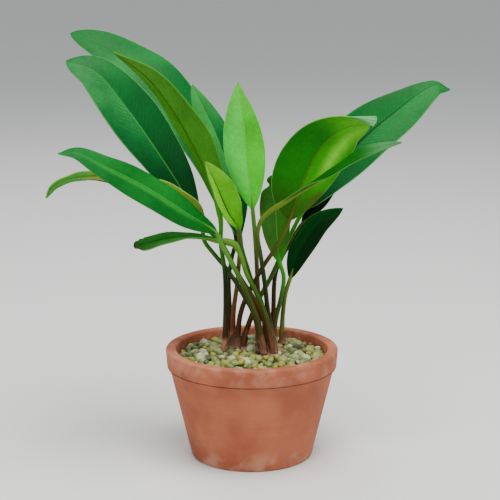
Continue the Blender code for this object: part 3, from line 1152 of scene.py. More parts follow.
@dataclass
class LeafPiece:
    """One leaf with its stalk, grown together, and the finishes of its two sides and stalk.

    The stalk's line runs on as a keel under the midrib, from blade_share of its run on.
    """

    name: str
    leaf: Leaf
    upper: BladeFinish
    skin: StalkFinish
    under: BladeFinish = UNDER
    cells_long: int = 60
    cells_wide: int = 20
    margin_crowding: float = 0.9
    thickness: float = 0.8
    rings: int = 64
    sides: int = 12
    root: float = 5.0
    base_radius: float = 2.2
    radius: float = 1.7
    top_radius: float = 1.5
    end_radius: float = 0.35
    flare_power: float = 4.0
    blade_share: float = 0.7
    keel_reach: float = 0.96
    keel_ease: float = 0.15
    keel_taper: float = 0.6
    drop_least: float = 0.35
    drop_share: float = 0.45
    drop_ease: float = 0.2
    roll_place: float = 4.0
    roll_reach: float = 9.0
    look_ahead: float = 0.005
    seam_side: Triple = (0.3, 1.0, 0.0)

    def build(self) -> Thing:
        """Make the blade and the stalk, join them and let them stand for their node.

        Returns:
            The leaf.
        """
        form = LeafForm(self.leaf)
        skins = [self.under.material(self.name + "_under"), self.upper.material(self.name + "_upper")]
        blade = formed_grid(self.cells_long, self.cells_wide, partial(self.blade_point, form))
        parts = [self.dressed(blade, skins, self.thickness)]
        if lip := self.leaf.lip:
            end = formed_grid(*lip.cells, partial(self.end_point, form, lip))
            self.turn_over(end)
            parts.append(self.dressed(end, skins, self.thickness * lip.thin))
        parts.append(self.stalk(form))
        whole = settled(joined(self.name.replace("leaf_", "") + "_leaf", *parts))
        hand_over(whole, self.name)
        return whole

    @staticmethod
    def dressed(sheet: Thing, skins: list[bpy.types.Material], thickness: float) -> Thing:
        """Give a sheet its two skins and its thickness.

        Args:
            sheet: The sheet.
            skins: The skin of its underside and that of its upper side.
            thickness: Its thickness in millimetres.

        Returns:
            The same sheet.
        """
        for skin in skins:
            sheet.data.materials.append(skin)
        return thickened(sheet, thickness)

    def blade_point(self, form: LeafForm, run: float, over: float) -> tuple[Vector, Pair]:
        """Where a point of the blade's grid goes, whose cells are shorter at the base and tip.

        Args:
            form: The leaf's curves.
            run: The point's share along the grid.
            over: Its share across.

        Returns:
            Its place in millimetres and its place on the blade's map.
        """
        t = (run + (1 - math.cos(math.pi * run)) / 2) / 2
        s = math.copysign(abs(2 * over - 1) ** self.margin_crowding, 2 * over - 1)
        return form.surface(t, s), (t, (s + 1) / 2)

    @staticmethod
    def end_point(form: LeafForm, lip: Lip, u: float, v: float) -> tuple[Vector, Pair]:
        """Where a point of the folded-over end's grid goes.

        Args:
            form: The leaf's curves.
            lip: How the end is folded.
            u: The point's share along the blade's margin.
            v: Its share out to the free corners.

        Returns:
            Its place in millimetres and its place on the blade's map.
        """
        near = form.surface(lip.start + (lip.end - lip.start) * u, lip.margin)
        far = SIGHT.place(*lip.high).lerp(SIGHT.place(*lip.low), u)
        far += Vector((1, 0, 0)) * lip.bulge * math.sin(math.pi * u)
        arch = lip.flat + (1 - lip.flat) * math.sin(math.pi * u)
        swell = SIGHT.ahead * lip.bulge * math.sin(math.pi * v) * arch
        (along, long), (across, wide) = lip.chart
        return near.lerp(far, v) - swell, (along + long * v, across + wide * u)

    @staticmethod
    def turn_over(sheet: Thing) -> None:
        """Turn a sheet's faces to its other side.

        Args:
            sheet: The sheet.
        """
        with editing(sheet):
            bpy.ops.mesh.select_all(action="SELECT")
            bpy.ops.mesh.flip_normals()

    def bar(self, form: LeafForm, share: float) -> tuple[Vector, float]:
        """The stalk's middle and radius at a share of its run from its root to its keel's end.

        Args:
            form: The leaf's curves.
            share: The share, from 0 to 1.

        Returns:
            The place in millimetres and the radius.
        """
        if share > self.blade_share:
            return self.keel(form, (share - self.blade_share) / (1 - self.blade_share))
        length = form.stalk.marks[-1]
        travel = share / self.blade_share * (length + self.root) - self.root
        if travel < 0:
            return form.stalk.at(0.0) + Vector((0, 0, travel)), self.base_radius
        part = travel / length
        radius = self.radius + (self.top_radius - self.radius) * part
        radius += (self.base_radius - self.radius) * (1 - part) ** self.flare_power
        return form.stalk.at(part), radius + self.roll(travel - length)

    def keel(self, form: LeafForm, part: float) -> tuple[Vector, float]:
        """The middle and radius of the keel at a share of its run under the blade.

        Args:
            form: The leaf's curves.
            part: The share, from 0 to 1.

        Returns:
            The place in millimetres and the radius.
        """
        t = self.keel_reach * part
        thin = 1 + (self.leaf.keel - 1) * min(1.0, t / self.keel_ease)
        radius = (self.top_radius + (self.end_radius - self.top_radius) * part ** self.keel_taper) * thin
        radius += self.roll(t * form.rib.marks[-1])
        drop = self.drop_least + self.drop_share * min(1.0, t / self.drop_ease) * radius
        return form.rib.at(t) - form.across(t)[1] * drop, radius

    def roll(self, beyond: float) -> float:
        """The stalk's extra radius where the blade's base, beyond mm back, is rolled round it."""
        return self.leaf.neck * math.exp(-(((beyond - self.roll_place) / self.roll_reach) ** 2))

    def stalk_point(self, form: LeafForm, share: float, around: float) -> tuple[Vector, Pair]:
        """Where a point of the stalk's grid goes.

        Args:
            form: The leaf's curves.
            share: The point's share of the stalk's run.
            around: Its share of the way round.

        Returns:
            Its place in millimetres and its place on the stalk's map.
        """
        middle, radius = self.bar(form, share)
        steps = (-self.look_ahead, self.look_ahead)
        nearer, farther = (self.bar(form, share + step)[0] for step in steps)
        ahead = (farther - nearer).normalized()
        first = ahead.cross(Vector(self.seam_side)).normalized()
        turn = 2 * math.pi * around
        outward = first * math.cos(turn) + ahead.cross(first) * math.sin(turn)
        return middle + outward * radius, (share, around)

    def stalk(self, form: LeafForm) -> Thing:
        """The stalk and keel: a grid rolled round the leaf's line, its seam and ends closed.

        Args:
            form: The leaf's curves.

        Returns:
            The stalk.
        """
        tube = formed_grid(self.rings, self.sides, partial(self.stalk_point, form))
        tube.data.materials.append(self.skin.material(self.name + "_stalk"))
        with editing(tube):
            bpy.ops.mesh.select_all(action="SELECT")
            bpy.ops.mesh.remove_doubles(threshold=WELD * MM)
            bpy.ops.mesh.fill_holes(sides=0)
            bpy.ops.mesh.select_all(action="SELECT")
            bpy.ops.mesh.normals_make_consistent(inside=False)
        return tube


# Pot, gravel and creeping stem

@dataclass
class Pot:
    """The plain clay pot: a tapered cup with a thicker band round its rim."""

    height: float = 78.0
    rim_radius: float = 61.0
    band: float = 13.0
    band_step: float = 2.6
    draft: float = 1.0
    foot_radius: float = 43.0
    wall: float = 5.0
    floor: float = 7.0
    rounding: float = 1.5
    rounding_steps: int = 3
    corner: float = 25.0
    crisp: float = 40.0
    sides: int = 96
    finish: ClayFinish = ClayFinish()

    @property
    def mouth(self) -> float:
        """The inner radius under the rim."""
        return self.rim_radius - self.band_step - self.wall

    def build(self) -> Thing:
        """Raise the pot from its foot, ring by ring, and round its edges.

        Returns:
            The pot.
        """
        shoulder = self.height - self.band
        clear_choice()
        bpy.ops.mesh.primitive_cylinder_add(
            vertices=self.sides, radius=self.foot_radius * MM, depth=shoulder * MM,
            location=(0, 0, shoulder / 2 * MM))
        pot = started()
        with editing(pot) as mesh:
            choose_faces(mesh, faces_up)
            widened((self.rim_radius - self.band_step) / self.foot_radius, shoulder)
            self.ring(self.rim_radius - self.band_step, self.rim_radius - self.draft, shoulder, 0.0)
            self.ring(self.rim_radius - self.draft, self.rim_radius, shoulder, self.band)
            self.ring(self.rim_radius, self.mouth, self.height, 0.0)
            self.ring(self.mouth, self.mouth, self.height, -self.band)
            self.ring(self.mouth, self.foot_radius - self.wall, shoulder, self.floor - shoulder)
            choose_edges(mesh, self.is_corner)
            bpy.ops.mesh.bevel(
                offset=self.rounding * MM, segments=self.rounding_steps, profile=0.5)
        pot.data.materials.append(self.finish.material())
        pot.name = "clay_pot"
        settled(pot, self.crisp)
        hand_over(pot, "pot")
        return pot

    def is_corner(self, edge: bmesh.types.BMEdge) -> bool:
        """Whether an edge runs round the pot at one of its corners."""
        level = abs(edge.verts[0].co.z - edge.verts[1].co.z) < WELD * MM
        return level and len(edge.link_faces) == 2 and edge.calc_face_angle() > math.radians(self.corner)

    @staticmethod
    def ring(old: float, new: float, height: float, rise: float) -> None:
        """Raise the selected face of radius old at a height by rise, and give it the radius new."""
        extruded(rise)
        widened(new / old, height + rise)


class PebbleShape(Enum):
    """The few shapes that the grains are copied from, by seed and by how uneven they are."""

    ROUND = (3, 0.34)
    OVAL = (5, 0.46)
    BLUNT = (8, 0.54)
    CHIPPED = (13, 0.62)
    FLAT = (21, 0.5)


@dataclass
class Gravel:
    """The bed of gravel: a filled depth under a heap of loose grains.

    The spread is the least and greatest share of a grain's size along each of its axes.
    """

    mouth: float
    edge: float = 73.0
    crown: float = 79.0
    heap_spacing: float = 13.0
    hollow_depth: float = 3.4
    bed_floor: float = 12.0
    bed_gap: float = 0.4
    bed_sides: int = 64
    bed_rings: int = 7
    bed_taper: float = 0.7
    crisp: float = 60.0
    sink: float = 7.0
    layers: int = 3
    layer_step: float = 2.6
    tries: int = 9000
    small: float = 1.9
    large: float = 4.6
    close: float = 0.78
    rim_gap: float = 0.3
    stalk_gap: float = 2.0
    buried: float = 0.75
    lift: float = 0.6
    jitter: float = 0.5
    lean: float = 0.35
    spread: tuple[Pair, ...] = ((0.9, 1.25), (0.76, 1.0), (0.62, 0.9))
    ball: float = 1.08
    wear: float = 0.25
    seed: int = 12
    grain: GrainFinish = GrainFinish()
    depth: BedFinish = BedFinish()

    def mound(self, radius: float) -> float:
        """Height of the gravel at a distance from the pot's axis."""
        return self.crown - (self.crown - self.edge) * min(radius / self.mouth, 1.0) ** 2

    def heaped(self, x: float, y: float) -> float:
        """Height of the gravel at a place: its mound, heaped and hollowed as loose grains lie.

        Args:
            x: The place's x.
            y: Its y.

        Returns:
            The height in millimetres.
        """
        turn = 2 * math.pi / self.heap_spacing
        wave = (math.cos(turn * (x + y / 3)) + math.cos(turn * (y - x / 3))) / 2
        return self.mound(math.hypot(x, y)) - self.hollow_depth * (1 - wave) / 2

    def build(self, feet: list[Pair]) -> Thing:
        """Fill the pot and strew the grains.

        Args:
            feet: Where stalks come out of the gravel.

        Returns:
            The heap of grains.
        """
        hand_over(self.bed(), "gravel")
        heap = self.heap(feet)
        hand_over(heap, "gravel", replaces=False)
        return heap

    def bed(self) -> Thing:
        """The depth of the gravel, domed like its surface and a grain below it.

        Returns:
            The bed.
        """
        clear_choice()
        low, high = self.bed_floor, self.edge - self.sink
        bpy.ops.mesh.primitive_cylinder_add(
            vertices=self.bed_sides, radius=(self.mouth - self.bed_gap) * MM, depth=(high - low) * MM,
            location=(0, 0, (high + low) / 2 * MM))
        bed = started()
        with editing(bed) as mesh:
            choose_faces(mesh, faces_down)
            widened(self.bed_taper, low)
            choose_faces(mesh, faces_up)
            for ring in range(self.bed_rings, 1, -1):
                far, near = (self.mouth * step / self.bed_rings for step in (ring, ring - 1))
                extruded(self.mound(near) - self.mound(far))
                widened(near / far, self.mound(near) - self.sink)
        bed.data.materials.append(self.depth.material())
        bed.name = "gravel_depth"
        return settled(bed, self.crisp)

    def pebble(self, shape: PebbleShape) -> Thing:
        """One grain of a shape, about 2 mm across: a ball made uneven and then worn smooth.

        Args:
            shape: The shape.

        Returns:
            The grain.
        """
        seed, uneven = shape.value
        clear_choice()
        bpy.ops.mesh.primitive_ico_sphere_add(subdivisions=2, radius=self.ball)
        grain = started()
        with editing(grain):
            bpy.ops.mesh.select_all(action="SELECT")
            bpy.ops.transform.vertex_random(offset=uneven, seed=seed)
            bpy.ops.mesh.vertices_smooth(factor=self.wear)
        return grain

    def spots(self, feet: list[Pair]) -> list[tuple[float, float, float, float]]:
        """Where the grains lie, layer by layer, clear of the stalks and of the rim.

        Args:
            feet: Where stalks come out of the gravel.

        Returns:
            Each grain's x, y, z and radius.
        """
        chance = random.Random(self.seed)
        spots: list[tuple[float, float, float, float]] = []
        for layer in range(self.layers):
            laid: list[Triple] = []
            for _ in range(self.tries):
                size = chance.uniform(self.small, self.large)
                reach = (self.mouth - size - self.rim_gap) * math.sqrt(chance.random())
                turn = chance.uniform(0, 2 * math.pi)
                x, y = reach * math.cos(turn), reach * math.sin(turn)
                if any(math.hypot(x - fx, y - fy) < self.stalk_gap + self.buried * size for fx, fy in feet):
                    continue
                if any(math.hypot(x - ox, y - oy) < self.close * (size + other) for ox, oy, other in laid):
                    continue
                laid.append((x, y, size))
                level = self.heaped(x, y) + self.lift - self.buried * size - self.layer_step * layer
                spots.append((x, y, level + chance.uniform(-self.jitter, self.jitter), size))
        return spots

    def heap(self, feet: list[Pair]) -> Thing:
        """The grains, each a copy of one of the shapes, turned and sized, in one mesh.

        Args:
            feet: Where stalks come out of the gravel.

        Returns:
            The heap.
        """
        grains = [self.pebble(shape) for shape in PebbleShape]
        chance = random.Random(self.seed + 1)
        points: list[Vector] = []
        faces: list[list[int]] = []
        tints: list[float] = []
        for x, y, z, size in self.spots(feet):
            grain = chance.choice(grains)
            spread = [chance.uniform(least, most) for least, most in self.spread]
            lean = Euler((chance.gauss(0, self.lean), chance.gauss(0, self.lean),
                          chance.uniform(0, 2 * math.pi)))
            move = Matrix.Translation((x, y, z)) @ lean.to_matrix().to_4x4() @ Matrix.Diagonal((*spread, 1))
            start, tint = len(points), chance.random()
            points += [(move @ (vertex.co * size)) * MM for vertex in grain.data.vertices]
            faces += [[start + i for i in face.vertices] for face in grain.data.polygons]
            tints += [tint] * len(grain.data.vertices)
        for grain in grains:
            bpy.data.objects.remove(grain, do_unlink=True)
        data = bpy.data.meshes.new("gravel_grains")
        data.from_pydata(points, [], faces)
        data.attributes.new(self.grain.attribute, "FLOAT", "POINT").data.foreach_set("value", tints)
        data.materials.append(self.grain.material())
        heap = bpy.data.objects.new("gravel_grains", data)
        bpy.context.scene.collection.objects.link(heap)
        return settled(heap, SMOOTH)


@dataclass(frozen=True)
class Knob:
    """A knob of the creeping stem: its middle, its half width and its half depth."""

    x: float
    y: float
    wide: float
    deep: float


@dataclass
class Crown:
    """The creeping stem, mostly under the gravel, and the sheaths at the stalks' feet."""

    knobs: tuple[Knob, Knob] = (Knob(12.5, -3.0, 11.5, 15.5), Knob(-13.5, 3.5, 10.0, 9.0))
    top: float = 78.8
    half_height: float = 6.0
    knob_cells: tuple[int, int] = (40, 24)
    flatness: float = 0.7
    long_swell: float = 0.035
    long_ripple: Pair = (9.0, 2.0)
    cross_swell: float = 0.03
    cross_ripple: Pair = (-3.0, 7.0)
    swell_sink: float = 0.06
    bridge_cells: tuple[int, int] = (32, 16)
    bridge_radius: float = 5.0
    bridge_level: float = 73.5
    bridge_swell: float = 0.05
    bridge_rings: float = 22.0
    sheath_cells: tuple[int, int] = (10, 12)
    sheath_height: float = 7.5
    sheath_growth: Pair = (0.7, 1.25)
    sheath_radius: float = 2.75
    sheath_taper: float = 0.12
    sheath_flare: float = 0.5
    sheath_wrap: float = 125.0
    sheath_tip: float = 1.5
    sheath_root: float = 3.0
    sheath_wall: float = 0.35
    crisp: float = 60.0
    seed: int = 4
    finish: CrownFinish = CrownFinish()

    def build(self, forms: list[LeafForm]) -> Thing:
        """Shape the knobs, the length between them and the sheaths, as one piece.

        Args:
            forms: The curves of the leaves that stand on it.

        Returns:
            The crown.
        """
        parts = [formed_ball(*self.knob_cells, partial(self.knob_point, knob)) for knob in self.knobs]
        parts.append(formed_ball(*self.bridge_cells, self.bridge_point))
        bark, skin = self.finish.stem_material(), self.finish.sheath_material()
        for part in parts:
            part.data.materials.append(bark)
        chance = random.Random(self.seed)
        for form in forms:
            turn, grow = chance.uniform(0, 2 * math.pi), chance.uniform(*self.sheath_growth)
            wrap = formed_grid(*self.sheath_cells, partial(self.sheath_point, form, turn, grow))
            wrap.data.materials.append(skin)
            parts.append(thickened(wrap, self.sheath_wall))
        whole = settled(joined("creeping_stem", *parts), self.crisp)
        hand_over(whole, "rhizome")
        return whole

    def knob_point(self, knob: Knob, point: Vector) -> Vector:
        """Where a point of a ball goes on an oval knob with ring-like swellings.

        Args:
            knob: The knob's place and size.
            point: The point of the ball.

        Returns:
            Its place in millimetres.
        """
        x, y, z = point
        swell = 1 + self.long_swell * math.sin(self.long_ripple[0] * x + self.long_ripple[1] * y)
        swell += self.cross_swell * math.sin(self.cross_ripple[0] * x + self.cross_ripple[1] * y)
        flat = math.copysign(abs(z) ** self.flatness, z)
        height = self.half_height * flat * (swell - self.swell_sink)
        return Vector((knob.x + knob.wide * x * swell, knob.y + knob.deep * y * swell,
                       self.top - self.half_height + height))

    def bridge_point(self, point: Vector) -> Vector:
        """Where a point of a ball goes on the length of stem between the knobs.

        Args:
            point: The point of the ball.

        Returns:
            Its place in millimetres.
        """
        first, second = self.knobs
        middle = Vector(((first.x + second.x) / 2, (first.y + second.y) / 2, self.bridge_level))
        radius = self.bridge_radius * (1 + self.bridge_swell * math.sin(self.bridge_rings * point.x))
        return middle + point * Vector(((first.x - second.x) / 2, radius, radius))

    def sheath_point(self, form: LeafForm, turn: float, grow: float, rise: float,
                     around: float) -> tuple[Vector, Pair]:
        """Where a point of a grid goes on a dry sheath, rolled most of the way round a stalk's foot.

        Args:
            form: The curves of the leaf that it wraps.
            turn: Which way its closed side faces.
            grow: Its height, as a share of the usual.
            rise: The point's share of the height.
            around: Its share of the way round.

        Returns:
            Its place in millimetres and its place on the sheath's map.
        """
        swing = 2 * around - 1
        angle = turn + swing * math.radians(self.sheath_wrap) * (1 - rise ** self.sheath_tip)
        radius = self.sheath_radius * (1 - self.sheath_taper * rise)
        radius += self.sheath_flare * rise * abs(swing)
        foot = form.stalk.at(self.sheath_height * grow * rise / form.stalk.marks[-1])
        foot += Vector((0, 0, -self.sheath_root * (1 - rise)))
        return foot + Vector((math.cos(angle), math.sin(angle), 0)) * radius, (rise, around)


# The plant's leaves, one by one

LEAVES: tuple[LeafPiece, ...] = (
    LeafPiece(
        "leaf_back_left",
        Leaf(
            foot=(-17, 9.5),
            stalk=((228, 392, 11.5), (227.5, 356, 13), (231, 334, 14)),
            rib=((235, 314, 15), (223, 278, 22), (207, 232, 34), (150, 150, 48), (122, 129, 53),
                 (93, 111, 57), (60, 98, 60)),
            left=Half(19, 0.95, 0.65), right=Half(23, 0.95, 0.65), face=(0.5, -0.75, 0.75),
            face_tip=(0.2, -0.7, 0.75)),
        BladeFinish(
            left=(70, 144, 90), right=(34, 134, 72), base=(6, 96, 48), tip=(52, 142, 78),
            rib=(30, 112, 60), edge=(110, 178, 110)),
        StalkFinish(foot=(190, 140, 116), low=(108, 84, 56), middle=(84, 84, 42), top=(56, 100, 34))),
    LeafPiece(
        "leaf_big_left",
        Leaf(
            foot=(12, -8.5),
            stalk=((267, 408, -8.5), (252, 376, -8), (243, 362, -6), (234, 347, -3.5), (221.5, 323, -1),
                   (210.5, 311, 1)),
            rib=((199, 299, 2), (167, 247, 8), (121, 180, 12), (86, 139, 14), (55, 127, 14)),
            left=Half(20, 0.95, 0.6), right=Half(22, 0.9, 0.75), face=(0.4, -0.8, 0.6), turn=1.0),
        # The pale left half and the deep teal right half differ partly by painted light and shade, and the
        # left half's stronger lighter veins are painted highlights.
        BladeFinish(
            left=(56, 138, 80), right=(4, 108, 52), base=(2, 88, 41), tip=(64, 146, 86),
            rib=(84, 156, 88), edge=(120, 180, 108), vein_highlight=(0.34, 0.14), base_reach=0.75, tip_start=0.6,
            gloss=0.09),
        StalkFinish(foot=(150, 112, 88), low=(140, 84, 56), middle=(100, 96, 44), top=(76, 128, 44))),
    LeafPiece(
        "leaf_leaning",
        Leaf(
            foot=(-19, -2),
            stalk=((224, 383, -4), (223, 350, -7.5), (219, 322, -11)),
            rib=((218, 290, -12), (197, 231, -13), (170, 182, -16), (140, 143, -20), (104, 117, -23)),
            left=Half(19, 0.75, 1.05), right=Half(16, 0.95, 0.9), face=(0.6, 0.6, 0.5), fold=25,
            keel=0.55, neck=0.55),
        BladeFinish(
            left=(60, 140, 70), right=(50, 130, 62), base=(20, 90, 40), tip=(80, 150, 80),
            rib=(30, 95, 45), edge=PALE_EDGE),
        StalkFinish(
            foot=(208, 160, 140), low=(98, 84, 56), middle=(54, 72, 32), top=(92, 168, 44),
            keel=(84, 134, 34)),
        BladeFinish(
            left=(90, 152, 52), right=(96, 160, 54), base=(70, 146, 44), tip=(104, 150, 66),
            rib=(74, 126, 34), edge=(96, 156, 52), rib_width=0.02)),
    LeafPiece(
        "leaf_behind",
        Leaf(
            foot=(10.5, -2),
            stalk=((262, 383, 0.5), (254.5, 368, 1.5), (248.5, 350, 2), (241, 324, 3)),
            rib=((240, 314, 4), (234, 262, 9), (215, 205, 15), (200, 174, 19), (189, 152, 20)),
            left=Half(13, 0.55, 0.6), right=Half(11, 0.9, 0.9), face=(0.3, -0.9, 0.3), turn=2.0),
        BladeFinish(
            left=(86, 168, 96), right=(54, 136, 78), base=(20, 106, 56), tip=(84, 168, 94),
            rib=(46, 120, 66), edge=(120, 186, 116), base_reach=0.5),
        StalkFinish(top=(84, 140, 48))),
    LeafPiece(
        "leaf_centre",
        Leaf(
            foot=(5.5, 10),
            stalk=((259, 385, 11), (257.5, 350, 9), (256, 322, 1)),
            rib=((253, 286, -9), (247, 230, -10), (243, 190, -8), (237.5, 149, -5)),
            left=Half(15.6, 1, 0.95), right=Half(13, 1, 1.15), face=(-0.1, -1, 0.1), wave=0.3),
        BladeFinish(
            left=(102, 208, 96), right=(98, 200, 60), base=(88, 194, 58), tip=(116, 204, 90),
            rib=(108, 202, 80), edge=(150, 220, 132)),
        StalkFinish(low=(140, 92, 62), middle=(124, 108, 68), top=(120, 156, 74))),
    LeafPiece(
        "leaf_low_left",
        Leaf(
            foot=(8.5, -14),
            stalk=((257, 399, -15), (243, 366, -19), (228, 337, -24), (219, 320, -27)),
            rib=((215, 310, -29), (182, 288, -38), (140, 261, -46), (95, 238, -53), (66, 224, -56),
                 (46, 225, -56)),
            left=Half(13.5, 0.7, 0.85), right=Half(11, 0.7, 0.85), face=(0.1, -0.75, 0.7), turn=0.6),
        # The band on this upper side is a painted sheen down the blade.
        BladeFinish(
            left=(26, 124, 56), right=(34, 132, 60), base=(24, 116, 42), tip=(62, 146, 84),
            rib=(84, 162, 84), edge=(20, 108, 48), band=(66, 156, 70), sheen_place=-0.15, sheen_width=0.3),
        StalkFinish(foot=(150, 118, 88), low=(96, 96, 58), middle=(90, 112, 50), top=(112, 166, 74))),
    LeafPiece(
        "leaf_lowest_left",
        Leaf(
            foot=(7, -8),
            stalk=((253, 393, -8.5), (244, 377, -7.5), (235, 362, -5.5), (225, 347.5, -2), (212, 332, -4),
                   (201, 317, -10)),
            rib=((199, 303, -14), (189, 281, -17), (163, 265, -21), (125, 253, -24), (88, 248, -24),
                 (60, 251, -23), (42, 259, -22), (33, 272, -21)),
            left=Half(8, 0.5, 0.65), right=Half(7.5, 0.9, 0.7), face=(-0.2, 0.65, 0.7), wave=0.9,
            waves=4.0,
            notches=(Notch(0.83, -1, 0.05, 0.3), Notch(0.83, 1, 0.05, 0.3), Notch(0.64, 1, 0.012, 0.14),
                     Notch(0.68, 1, 0.012, 0.2), Notch(0.72, 1, 0.012, 0.16))),
        BladeFinish(
            left=(72, 148, 72), right=(64, 140, 66), base=(60, 120, 50), tip=(70, 160, 80),
            rib=(60, 110, 50), edge=PALE_EDGE, spots=(Spot(0.68, 1.0, 0.08, 0.2),)),
        StalkFinish(foot=(150, 112, 88), keel=(140, 176, 84)),
        BladeFinish(
            left=(150, 186, 84), right=(168, 184, 84), base=(142, 154, 80), tip=(84, 180, 96),
            rib=(140, 176, 80), edge=(166, 190, 96), tip_start=0.64, tip_end=0.8, spot_colour=(130, 92, 44),
            spots=(Spot(0.68, 1.0, 0.08, 0.2),))),
    LeafPiece(
        "leaf_folded",
        Leaf(
            foot=(14.5, -13),
            stalk=((266, 395, -13.5), (255.5, 371, -15), (246, 352, -17), (240, 333, -19)),
            rib=((232, 320, -20), (213, 316, -20), (193, 313.5, -19), (165, 315, -17), (142, 320, -16),
                 (126, 323, -15)),
            left=Half(8.5, 1.5, 0.4), right=Half(5.5, 1.3, 0.38), face=(0, -0.1, 1),
            face_tip=(0, -0.9, 0.5), fold=38, wave=0.7, neck=1.4,
            notches=(Notch(0.96, -1, 0.04, 0.35), Notch(0.9, 1, 0.012, 0.12), Notch(0.95, 1, 0.012, 0.2))),
        BladeFinish(
            left=(70, 140, 62), right=(60, 130, 54), base=(96, 134, 64), tip=(74, 136, 64),
            rib=(30, 96, 26), edge=(120, 176, 80), edge_width=0.1, spot_colour=(116, 88, 60),
            spots=(Spot(1.0, -0.1, 0.03, 0.9), Spot(0.94, -1.0, 0.045, 0.22))),
        StalkFinish(foot=(150, 112, 88), middle=(84, 122, 44), top=(118, 160, 66), keel=(128, 146, 84))),
    LeafPiece(
        "leaf_young",
        Leaf(
            foot=(-13.5, 4),
            stalk=((232.5, 392, 4), (236, 366, 3.5), (238, 344, 1)),
            rib=((238, 307, -10), (226, 287, -20), (213, 257, -31), (202, 233, -37)),
            left=Half(8, 0.9, 0.8), right=Half(13.5, 0.8, 0.85), face=(0.65, -0.76, 0), fold=35,
            wave=0.3),
        BladeFinish(
            left=(140, 200, 60), right=(112, 182, 40), base=(100, 172, 42), tip=(146, 200, 76),
            rib=(84, 92, 26), edge=(170, 212, 110), rib_width=0.07),
        StalkFinish(foot=(204, 146, 124), low=(150, 98, 68), middle=(138, 112, 66), top=(112, 130, 54))),
    LeafPiece(
        "leaf_broad_right",
        Leaf(
            foot=(-10.4, -1),
            stalk=((239.5, 397, -1.5), (246, 378, -2.5), (254.5, 362, -3.5), (264.5, 344, -4.5),
                   (280, 321, -6)),
            rib=((292, 296, -8), (307, 253, -16), (328, 215, -27), (352, 197, -36), (377, 194, -42)),
            left=Half(20.5, 0.8, 0.65), right=Half(23, 0.6, 1.0), face=(0.3, 0.8, 0.4), wave=0.4,
            keel=0.5, lip=Lip(0.78, (384, 185, -41), (380.5, 196, -43))),
        # The pale grey-green tip on this upper side, which the folded-over lip shows, is a painted
        # reflection.
        BladeFinish(
            left=(70, 148, 70), right=(64, 142, 66), base=(30, 100, 40), tip=(130, 182, 136),
            rib=(50, 110, 52), edge=PALE_EDGE),
        StalkFinish(low=(104, 78, 52), middle=(90, 84, 42), top=(110, 120, 46), keel=(116, 158, 50)),
        # This underside's yellow-green is partly its own colour and partly painted light shining through the
        # blade. Its band is a painted sheen that fades out towards the base, and its spot darkens one margin
        # near the base to olive.
        BladeFinish(
            left=(72, 158, 34), right=(34, 138, 24), base=(74, 116, 34), tip=(116, 182, 60),
            rib=(112, 156, 48), edge=(116, 178, 84), rib_width=0.022, base_reach=0.4, band=(146, 208, 78),
            sheen_place=-0.52, sheen_width=0.44, sheen_from=0.24, spot_colour=(104, 124, 52),
            spots=(Spot(0.2, -1.0, 0.06, 0.2, 1.5),))),
    LeafPiece(
        "leaf_back_right",
        Leaf(
            foot=(-6.5, 5),
            stalk=((254, 392, 5.5), (262, 375, 7), (271, 359, 8.5), (278.5, 343, 10), (290, 318, 12)),
            rib=((307, 285, 13), (342, 240, 20), (375, 205, 26), (405, 180, 31), (436, 157, 36),
                 (449, 152, 38), (462, 157, 40)),
            left=Half(25.5, 0.75, 1.25), right=Half(20, 0.75, 0.7), face=(-0.3, -0.8, 0.6), turn=2.6,
            notches=(Notch(0.965, -1, 0.03, 0.5),)),
        BladeFinish(
            left=(30, 122, 60), right=(56, 134, 76), base=(8, 84, 40), tip=(66, 148, 86), rib=(8, 64, 34),
            edge=(104, 174, 106), base_reach=0.5),
        StalkFinish(low=(112, 82, 50), middle=(92, 132, 50), top=(82, 158, 46))),
    LeafPiece(
        "leaf_front_right",
        Leaf(
            foot=(15.5, -4),
            stalk=((269.5, 396, -4.5), (266, 365, -8.5), (261.5, 334, -12.5), (258, 310, -16),
                   (263, 294, -19)),
            rib=((280, 280, -24), (304, 264, -34), (335, 247, -46), (372, 225, -57), (411, 213, -65)),
            left=Half(6.5, 0.95, 0.7), right=Half(6.5, 0.95, 1.1), face=(-0.4, 0.35, 1),
            face_tip=(-0.3, -0.9, 0.7), fold=22, neck=0.5),
        # The pale tip on this upper side is a painted highlight where the twisted tip catches the light.
        BladeFinish(
            left=(20, 116, 26), right=(24, 112, 30), base=(50, 118, 34), tip=(106, 162, 114),
            rib=(60, 140, 54), edge=(90, 156, 74), tip_start=0.68, tip_end=0.9),
        StalkFinish(low=(90, 82, 50), middle=(68, 84, 38), top=(130, 152, 66), keel=(132, 150, 74)),
        # The pale tip on this underside is a painted highlight too.
        BladeFinish(
            left=(44, 118, 36), right=(46, 120, 40), base=(110, 140, 60), tip=(110, 170, 116),
            rib=(130, 146, 66), edge=(96, 160, 80))),
    LeafPiece(
        "leaf_small_right",
        Leaf(
            foot=(21.5, 11),
            stalk=((285, 397, 10.5), (288, 374, 8.5)),
            rib=((292.5, 359, 7), (303, 329, 6), (323, 300, 5), (349, 283, 6)), left=Half(9, 0.8, 0.8),
            right=Half(8.5, 0.8, 0.8), face=(0, -1, 0.3)),
        # This leaf's dark greens are partly painted shade, as it lies in the shade of the leaf above. Its
        # band near one margin is a painted sheen.
        BladeFinish(
            left=(6, 84, 34), right=(2, 66, 26), base=(6, 76, 28), tip=(12, 88, 30), rib=(8, 72, 26),
            edge=(112, 144, 60), edge_width=0.05, gloss=0.05, roughness=0.6, band=(48, 112, 64),
            sheen_place=-0.75, sheen_width=0.1),
        StalkFinish(foot=(140, 96, 76), low=(140, 146, 84), middle=(128, 140, 66), top=(132, 152, 72))),
    LeafPiece(
        "leaf_upright",
        Leaf(
            foot=(15, 2.5),
            stalk=((277, 404, 3), (283.5, 376, 3), (286, 356, 1)),
            rib=((282, 341, 0), (279, 315, 2), (277.5, 285, 7), (277, 247, 10)),
